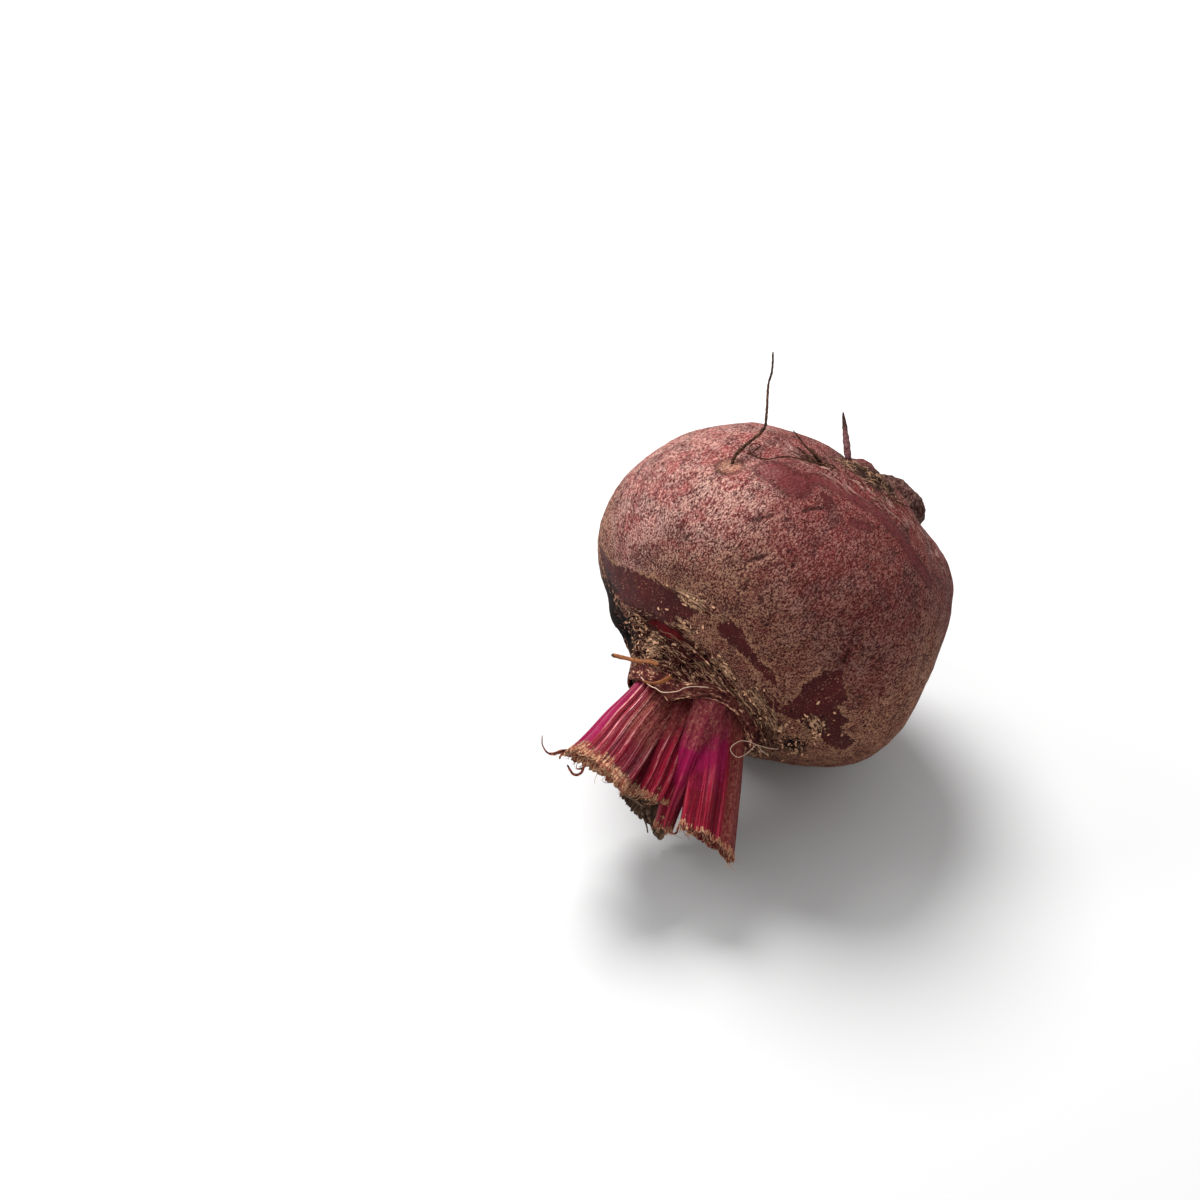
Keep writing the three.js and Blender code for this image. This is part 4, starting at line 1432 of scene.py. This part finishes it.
def paint_strands(stalk, look, settings):
    """Dark grooves between red ribs, the magenta skin, and pink on the palest ribs, which is partly pale
    streaks and partly painted highlight.
    """
    magenta = flank(stalk, look.flush, 0.8) * band(stalk.level, look.flush_to + 0.14, look.flush_to - 0.28)
    colour = mixed(stalk.wide, settings.crimson, settings.stalk_red)
    colour = mixed(band(stalk.thin, 0.5, 0.1) * 0.8, colour, settings.crimson)
    colour = mixed(magenta, colour, settings.magenta)
    crest = stalk.wide + stalk.thin * 0.4 + stalk.hairline * 0.4 + 0.12 * look.striped
    broken = noise_of(stretched(stalk.place, (1.0, 1.0, 0.25)), 1.3, 3.0, 0.7)
    # Pale rib crests: partly pale streaks and partly painted highlight.
    pale = band(crest, 1.18, 1.4) * look.striped * (1.0 - magenta) * band(broken, 0.4, 0.56, 0.15, 1.0)
    return mixed(pale * band(stalk.along, 1.0, 0.6, 0.3, 1.0), colour, settings.stalk_pink)


def paint_foot(stalk, look, settings, colour):
    """The dusky foot and flank, mottled and freckled with tan, and the darker front."""
    foot_to, strength = look.foot
    footed = band(stalk.level, foot_to + 0.05, foot_to - 0.17) * strength
    drab = flank(stalk, look.drab, 0.7) * band(stalk.along, look.drab_to, look.drab_to - 0.3)
    stalk.dusky = larger(footed, drab)
    mottled = mixed(band(stalk.mottle, 0.42, 0.62), settings.dusky, settings.dusky_pale)
    colour = mixed(stalk.dusky * 0.85, colour, mottled)
    dots = specks(stalk.place, spacing=0.75, size=0.2) * (0.12 + stalk.dusky * 0.5)
    colour = mixed(dots, colour, settings.fibre)
    return mixed(band(stalk.side, -0.15, -0.7) * 0.45, colour, settings.crimson)


def paint_cut(stalk, look, settings, colour):
    """The cut: pale torn strands, browner in the middle where the pith has dried."""
    edge = wavering(wavering(stalk.along, stalk.hairline, 0.08), stalk.patchy, 0.3)
    stalk.torn = band(edge, look.torn_from, look.torn_from + 0.03)
    stalk.pith = noise_of(stalk.place, 1.6, 4.0, 0.7)
    pith = mixed(band(stalk.pith, 0.45, 0.6), settings.pith_dark, settings.pith)
    pith = mixed(band(stalk.cut, 0.3, 0.8, 0.0, 0.6), pith, settings.pith_dark)
    return mixed(stalk.torn, colour, pith)


# What sets the stalks' skins apart. flush is the magenta stripe and drab the dusky one, each by
# how far across it is from -1 to 1, how wide and how strong; flush_to and drab_to are how far
# down they reach, as shares of the length. foot is how far down the dusky foot reaches and how
# dusky it is, striped how pale the ribs are, partly pale streaks and partly painted highlight, and
# torn_from where the torn strands start.
USUAL_LOOK = {"flush": (0, 0.3, 0), "flush_to": 1.2, "drab": (0, 0.3, 0), "drab_to": 1, "torn_from": 0.945}
LOOKS = {
    "Crimson stalk": {"foot": (0.5, 0.6), "striped": 0.5},
    "Ribbed stalk": {"flush": (-0.8, 0.5, 0.95), "drab": (0.6, 0.5, 0.8), "drab_to": 0.8,
                     "foot": (0.4, 0.2), "striped": 1.0, "torn_from": 0.9},
    "Drab stalk": {"flush": (-0.7, 0.75, 0.9), "flush_to": 0.62, "drab": (0.65, 0.6, 0.75),
                   "drab_to": 1.2, "foot": (0.32, 0.75), "striped": 0.12, "torn_from": 0.965},
    "Young stalk": {"flush": (0, 2, 0.9), "flush_to": 0.8, "foot": (0.46, 0.8), "striped": 0.15},
}


def stalk_material(settings, name):
    """A stalk's skin with one of the looks."""
    look = SimpleNamespace(**{**USUAL_LOOK, **LOOKS[name]})
    material, tree, shader = start_material(name)
    stalk = stalk_grain(tree)
    colour = paint_strands(stalk, look, settings)
    colour = paint_foot(stalk, look, settings, colour)
    colour = paint_cut(stalk, look, settings, colour)
    height = stalk.thin * 0.8 + stalk.hairline * 0.35 + stalk.mottle * 0.5
    height = height + stalk.torn * stalk.pith * 1.5
    roughness = 0.3 + larger(stalk.torn, stalk.dusky) * 0.4
    surface(shader, colour, roughness, height, depth=0.0005, shine=0.1)
    return material


def withered_material(settings):
    material, tree, shader = start_material("Withered stalk")
    place = kept_value(tree, "strands", vector=True)
    thin = fibres(place, width=0.7, length=9.0, sharpness=0.6)
    patchy = noise_of(place, 0.4, 4.0, 0.7)
    colour = mixed(thin, settings.withered, settings.withered_pale)
    colour = mixed(band(patchy, 0.5, 0.7), colour, WITHERED_BLACK)
    surface(shader, colour, 0.85, thin, 0.0004)
    return material


# ---- What a user can change ----


def colour_of(name, description, value):
    """A colour that a user can change."""
    return FloatVectorProperty(name=name, description=description, default=value, subtype="COLOR",
                               size=3, min=0, max=1)


class BeetrootSkinSettings(bpy.types.PropertyGroup):
    """The root's skin."""
    relief: FloatProperty(name="Relief", description="How far the lumps of the skin stand out",
                          default=RELIEF, min=0, max=0.001, unit="LENGTH")
    base: colour_of("Base", "The skin between its other tones", (0.23, 0.043, 0.041))
    pink: colour_of("Pink", "The dusty pink skin", (0.58, 0.137, 0.132))
    ruddy: colour_of("Ruddy", "The red-maroon skin", (0.235, 0.033, 0.033))
    earth: colour_of("Earth", "The brown skin", (0.35, 0.12, 0.083))
    bruise: colour_of("Bruise", "Grey-brown patches in the skin", (0.085, 0.04, 0.042))
    tan: colour_of("Tan flecks", "The dry pale flecks", (0.74, 0.375, 0.228))
    pale_pink: colour_of("Pale pink flecks", "The dry ridges of the pink skin", (0.95, 0.58, 0.48))
    bloom: colour_of("Bloom", "The mauve bloom on the ridges", (0.54, 0.275, 0.222))
    dark: colour_of("Dark flecks", "The dark grain of the skin", (0.045, 0.01, 0.01))
    smooth: colour_of("Smooth", "Where the outer skin is thin and smooth", (0.105, 0.016, 0.02))
    under: colour_of("Rubbed", "The smooth skin where the outer one has come off", (0.07, 0.01, 0.011))
    under_dark: colour_of("Rubbed, dark", "The darkest of the rubbed skin", (0.045, 0.007, 0.008))
    raw: colour_of("Raw", "The flesh that a nick shows", (0.22, 0.012, 0.016))
    tail: colour_of("Tap root", "The broken tap root and the matted hollow", (0.12, 0.04, 0.036))
    tail_pale: colour_of("Tap root, pale", "Dry scales on the tap root", (0.28, 0.15, 0.12))


class BeetrootDrySettings(bpy.types.PropertyGroup):
    """The corky neck, the side roots and the dry fibres."""
    cork: colour_of("Cork", "Corky rings of the neck", (0.19, 0.075, 0.048))
    cork_pale: colour_of("Pale cork", "Dry flakes of the neck", (0.95, 0.56, 0.34))
    cork_dark: colour_of("Dark cork", "The neck between its flakes", (0.06, 0.01, 0.01))
    bark: colour_of("Side root", "The long side root's bark", (0.022, 0.009, 0.006))
    bark_pale: colour_of("Side root, pale", "Worn bark on the long side root", (0.08, 0.036, 0.02))
    bark_young: colour_of("Young side root", "The short side root's bark", (0.1, 0.035, 0.04))
    young_pale: colour_of("Young side root, pale", "Worn bark on the short one", (0.2, 0.1, 0.095))
    fibre: colour_of("Fibre", "Torn dry fibres", (0.55, 0.31, 0.19))
    fibre_dark: colour_of("Dark fibre", "Old fibres", (0.06, 0.03, 0.018))
    lip: colour_of("Lip", "The papery lip round the stalks' feet", (0.13, 0.036, 0.028))
    lip_dark: colour_of("Lip, dark", "The lip's folds", (0.06, 0.01, 0.011))
    hair: colour_of("Hair", "The pale hairs along the rim", (0.62, 0.52, 0.42))
    straw: colour_of("Straw", "The dry slivers at the neck", (0.33, 0.13, 0.05))
    flakes: IntProperty(name="Flakes", description="How many cork flakes lie on the neck",
                        default=360, min=0, max=600)
    fibres: IntProperty(name="Fibres", description="How many loose fibres lie on the neck",
                        default=140, min=0, max=400)


class BeetrootStalkSettings(bpy.types.PropertyGroup):
    """The leaf stalks."""
    crimson: colour_of("Crimson", "The grooves of the stalks", (0.085, 0.002, 0.009))
    stalk_red: colour_of("Red", "The ribs of the stalks", (0.37, 0.01, 0.035))
    # Partly the ribs' pale streaks and partly painted highlight on them.
    stalk_pink: colour_of("Pink", "The palest ribs of the stalks", (0.88, 0.42, 0.42))
    magenta: colour_of("Magenta", "The smooth young skin of the stalks", (0.28, 0.005, 0.06))
    dusky: colour_of("Dusky", "The stalks' brownish feet", (0.14, 0.022, 0.022))
    dusky_pale: colour_of("Dusky, pale", "The worn ribs of the stalks' feet", (0.31, 0.11, 0.075))
    pith: colour_of("Pith", "The torn strands of a cut stalk", (0.7, 0.42, 0.25))
    pith_dark: colour_of("Dry pith", "The shrunken middle of a cut stalk", (0.28, 0.075, 0.045))
    withered: colour_of("Withered", "The dried stalk", (0.045, 0.026, 0.02))
    withered_pale: colour_of("Withered, pale", "Pale strands in the dried stalk", (0.16, 0.1, 0.065))


# ---- Operators ----


class Both:
    """Two groups of settings read as one."""

    def __init__(self, *groups):
        self.groups = groups

    def __getattr__(self, name):
        for group in self.groups:
            if name in type(group).__annotations__:
                return getattr(group, name)
        raise AttributeError(name)


def lone_strand(name, line, foot, tip, material, **shape):
    """A strand that is a piece by itself."""
    return finish_piece(joined([strand(line, foot, tip, **shape)], name), material, "skin")


class BEETROOT_OT_root(bpy.types.Operator):
    """Grow the swollen root and its skin"""
    bl_idname = "beetroot.root"
    bl_label = "Root"

    def execute(self, context):
        settings = Both(context.scene.beetroot_skin, context.scene.beetroot_dry)
        piece = grow_root(settings)
        finish_piece(piece, skin_material(settings), "skin")
        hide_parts("root")
        return {"FINISHED"}


class BEETROOT_OT_side_roots(bpy.types.Operator):
    """Grow the side roots, the spikes and the fine curls of the furrow"""
    bl_idname = "beetroot.side_roots"
    bl_label = "Side roots"

    def execute(self, context):
        settings = context.scene.beetroot_dry
        bark = side_root_material("Side root bark", settings.bark, settings.bark_pale, settings.bark)
        young = side_root_material("Young side root", settings.bark_young, settings.young_pale,
                                   settings.bark)
        lone_strand("long_side_root", LONG_SIDE_ROOT, 0.5, 0.24, bark, rings=120, sides=10, rough=0.5,
                    power=0.5, seed=3)
        lone_strand("short_side_root", SHORT_SIDE_ROOT, 0.84, 0.12, young, rings=50, sides=12,
                    rough=0.35, power=5, seed=4)
        skin = finished_skin()
        finish_piece(furrow_tuft(skin), bark, "skin")
        hair = fibre_material("Root hair", settings.bark, settings.fibre)
        finish_piece(matted_fibres(skin, ROOT_HAIRS), hair, "skin")
        return {"FINISHED"}


class BEETROOT_OT_neck(bpy.types.Operator):
    """Grow the dry lip, flakes, fibres, slivers and hairs of the neck"""
    bl_idname = "beetroot.neck"
    bl_label = "Neck"

    def execute(self, context):
        settings = context.scene.beetroot_dry
        skin = finished_skin()
        finish_piece(papery_lip(skin), lip_material(settings), "skin")
        finish_piece(cork_flakes(skin, settings.flakes), cork_flake_material(settings), "skin")
        fibre = fibre_material("Dry fibre", settings.fibre_dark, settings.fibre)
        finish_piece(loose_fibres(skin, settings.fibres), fibre, "skin")
        straw = straw_material(settings)
        shape = {"rings": 40, "sides": 10, "rough": 0.3}
        lone_strand("long_straw", LONG_STRAW, 0.5, 0.55, straw, flat=0.8, seed=5, **shape)
        lone_strand("short_straw", SHORT_STRAW, 0.35, 0.7, straw, flat=0.45, seed=6, **shape)
        hairs = [strand(RIM_HAIR, 0.13, 0.1, rings=60, sides=6, rough=0.2, seed=7),
                 strand(LOOP_HAIR, 0.1, 0.07, rings=60, sides=6, rough=0.2, seed=8)]
        finish_piece(joined(hairs, "pale_hairs"), hair_material(settings), "skin")
        return {"FINISHED"}


class BEETROOT_OT_stalks(bpy.types.Operator):
    """Grow the cut leaf stalks"""
    bl_idname = "beetroot.stalks"
    bl_label = "Leaf stalks"

    def execute(self, context):
        settings = Both(context.scene.beetroot_stalks, context.scene.beetroot_dry)
        materials = {name: stalk_material(settings, name) for name in LOOKS}
        for name, stalk in STALKS.items():
            piece = grow_stalk("leaf_" + name, stalk)
            finish_piece(piece, materials[stalk.look], stalk.slot)
            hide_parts(name)
        piece = grow_stalk("leaf_stalk_withered", WITHERED)
        shrivel(piece)
        finish_piece(piece, withered_material(settings), "withered_stalk")
        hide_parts("stalk_withered")
        fringe = fibre_material("Torn strands", settings.pith_dark, settings.pith)
        finish_piece(torn_fringe(random.Random(5)), fringe, "stalk")
        peeled = strip_material("Peeled strip", settings.pith_dark, settings.bark)
        finish_piece(strips(PEELS, "peeled_strips"), peeled, "stalk")
        curled = strip_material("Withered curl", settings.withered, settings.withered_pale)
        finish_piece(strips(CURLS, "withered_curls"), curled, "withered_stalk")
        return {"FINISHED"}


# The columns are the camera's own axes: to its right, up, and back from the beetroot. Its place is
# that far along them from the globe's middle, in mm, where the picture has this scale.
CAMERA_AXES = np.array([(0.73373, -0.45464, 0.50492), (0.67944, 0.49097, -0.54527),
                        (0, 0.74314, 0.66913)])
CAMERA_PLACE = np.array([-41.97, -0.72, 760])
PIXELS_PER_MM = 4.17
FRAME_PIXELS = 1200
SENSOR = 36
# Each lamp's way from the globe's middle along the same axes, its size in metres and its watts.
LAMPS = {"Window": ((-0.2, 0.95, 0.16), 0.5, 14), "Side window": ((-0.75, 0.55, 0.35), 0.3, 2.2)}
LAMP_REACH = 0.9
ROOM_LIGHT = 0.75
FLOOR_SIDE = 6
FLOOR_WHITE = (0.52, 0.52, 0.52, 1)


class BEETROOT_OT_stage(bpy.types.Operator):
    """Set up the floor, the light and the camera"""
    bl_idname = "beetroot.stage"
    bl_label = "Stage"

    def execute(self, context):
        scene = context.scene
        floor = flat_grid("floor", 8, 8, FLOOR_SIDE)
        material, _, shader = start_material("White floor")
        shader.inputs["Base Color"].default_value = FLOOR_WHITE
        shader.inputs["Roughness"].default_value = 0.9
        floor.data.materials.append(material)

        for name, (way, size, power) in LAMPS.items():
            self.lamp(name, GLOBE_MIDDLE + unit(CAMERA_AXES @ way) * LAMP_REACH, size, power)
        world = bpy.data.worlds.new("Pale room")
        world.use_nodes = True
        background = world.node_tree.nodes["Background"]
        background.inputs["Color"].default_value = (1, 1, 1, 1)
        background.inputs["Strength"].default_value = ROOM_LIGHT
        scene.world = world
        scene.view_settings.view_transform = "Standard"

        data = bpy.data.cameras.new("Camera")
        data.sensor_width = SENSOR
        data.lens = PIXELS_PER_MM * CAMERA_PLACE[2] * SENSOR / FRAME_PIXELS
        camera = bpy.data.objects.new("Camera", data)
        scene.collection.objects.link(camera)
        eye = GLOBE_MIDDLE + CAMERA_AXES @ CAMERA_PLACE * MM
        camera.matrix_world = Matrix.Translation(eye) @ Matrix(CAMERA_AXES.tolist()).to_4x4()
        scene.camera = camera
        return {"FINISHED"}

    def lamp(self, name, place, size, power):
        """A round lamp that shines at the globe's middle."""
        data = bpy.data.lights.new(name, "AREA")
        data.shape = "DISK"
        data.size = size
        data.energy = power
        lamp = bpy.data.objects.new(name, data)
        lamp.location = place
        lamp.rotation_euler = Vector(GLOBE_MIDDLE - place).to_track_quat("-Z", "Y").to_euler()
        bpy.context.scene.collection.objects.link(lamp)


class BEETROOT_PT_panel(bpy.types.Panel):
    """The beetroot's pieces and settings"""
    bl_idname = "BEETROOT_PT_panel"
    bl_label = "Beetroot"
    bl_space_type = "VIEW_3D"
    bl_region_type = "UI"
    bl_category = "Beetroot"

    def draw(self, context):
        layout = self.layout
        for operator in OPERATORS:
            layout.operator(operator.bl_idname)
        for key in SETTINGS:
            group = getattr(context.scene, key)
            box = layout.box()
            for name in type(group).__annotations__:
                box.prop(group, name)


SETTINGS = {
    "beetroot_skin": BeetrootSkinSettings,
    "beetroot_dry": BeetrootDrySettings,
    "beetroot_stalks": BeetrootStalkSettings,
}
OPERATORS = [BEETROOT_OT_stage, BEETROOT_OT_root, BEETROOT_OT_side_roots, BEETROOT_OT_neck,
             BEETROOT_OT_stalks]
CLASSES = [*SETTINGS.values(), *OPERATORS, BEETROOT_PT_panel]


def register():
    for cls in CLASSES:
        bpy.utils.register_class(cls)
    for key, group in SETTINGS.items():
        setattr(bpy.types.Scene, key, PointerProperty(type=group))


def unregister():
    for key in SETTINGS:
        delattr(bpy.types.Scene, key)
    for cls in reversed(CLASSES):
        bpy.utils.unregister_class(cls)


def main():
    register()
    bpy.ops.beetroot.stage()
    bpy.ops.beetroot.root()
    bpy.ops.beetroot.side_roots()
    bpy.ops.beetroot.neck()
    bpy.ops.beetroot.stalks()


if __name__ == "__main__":
    main()
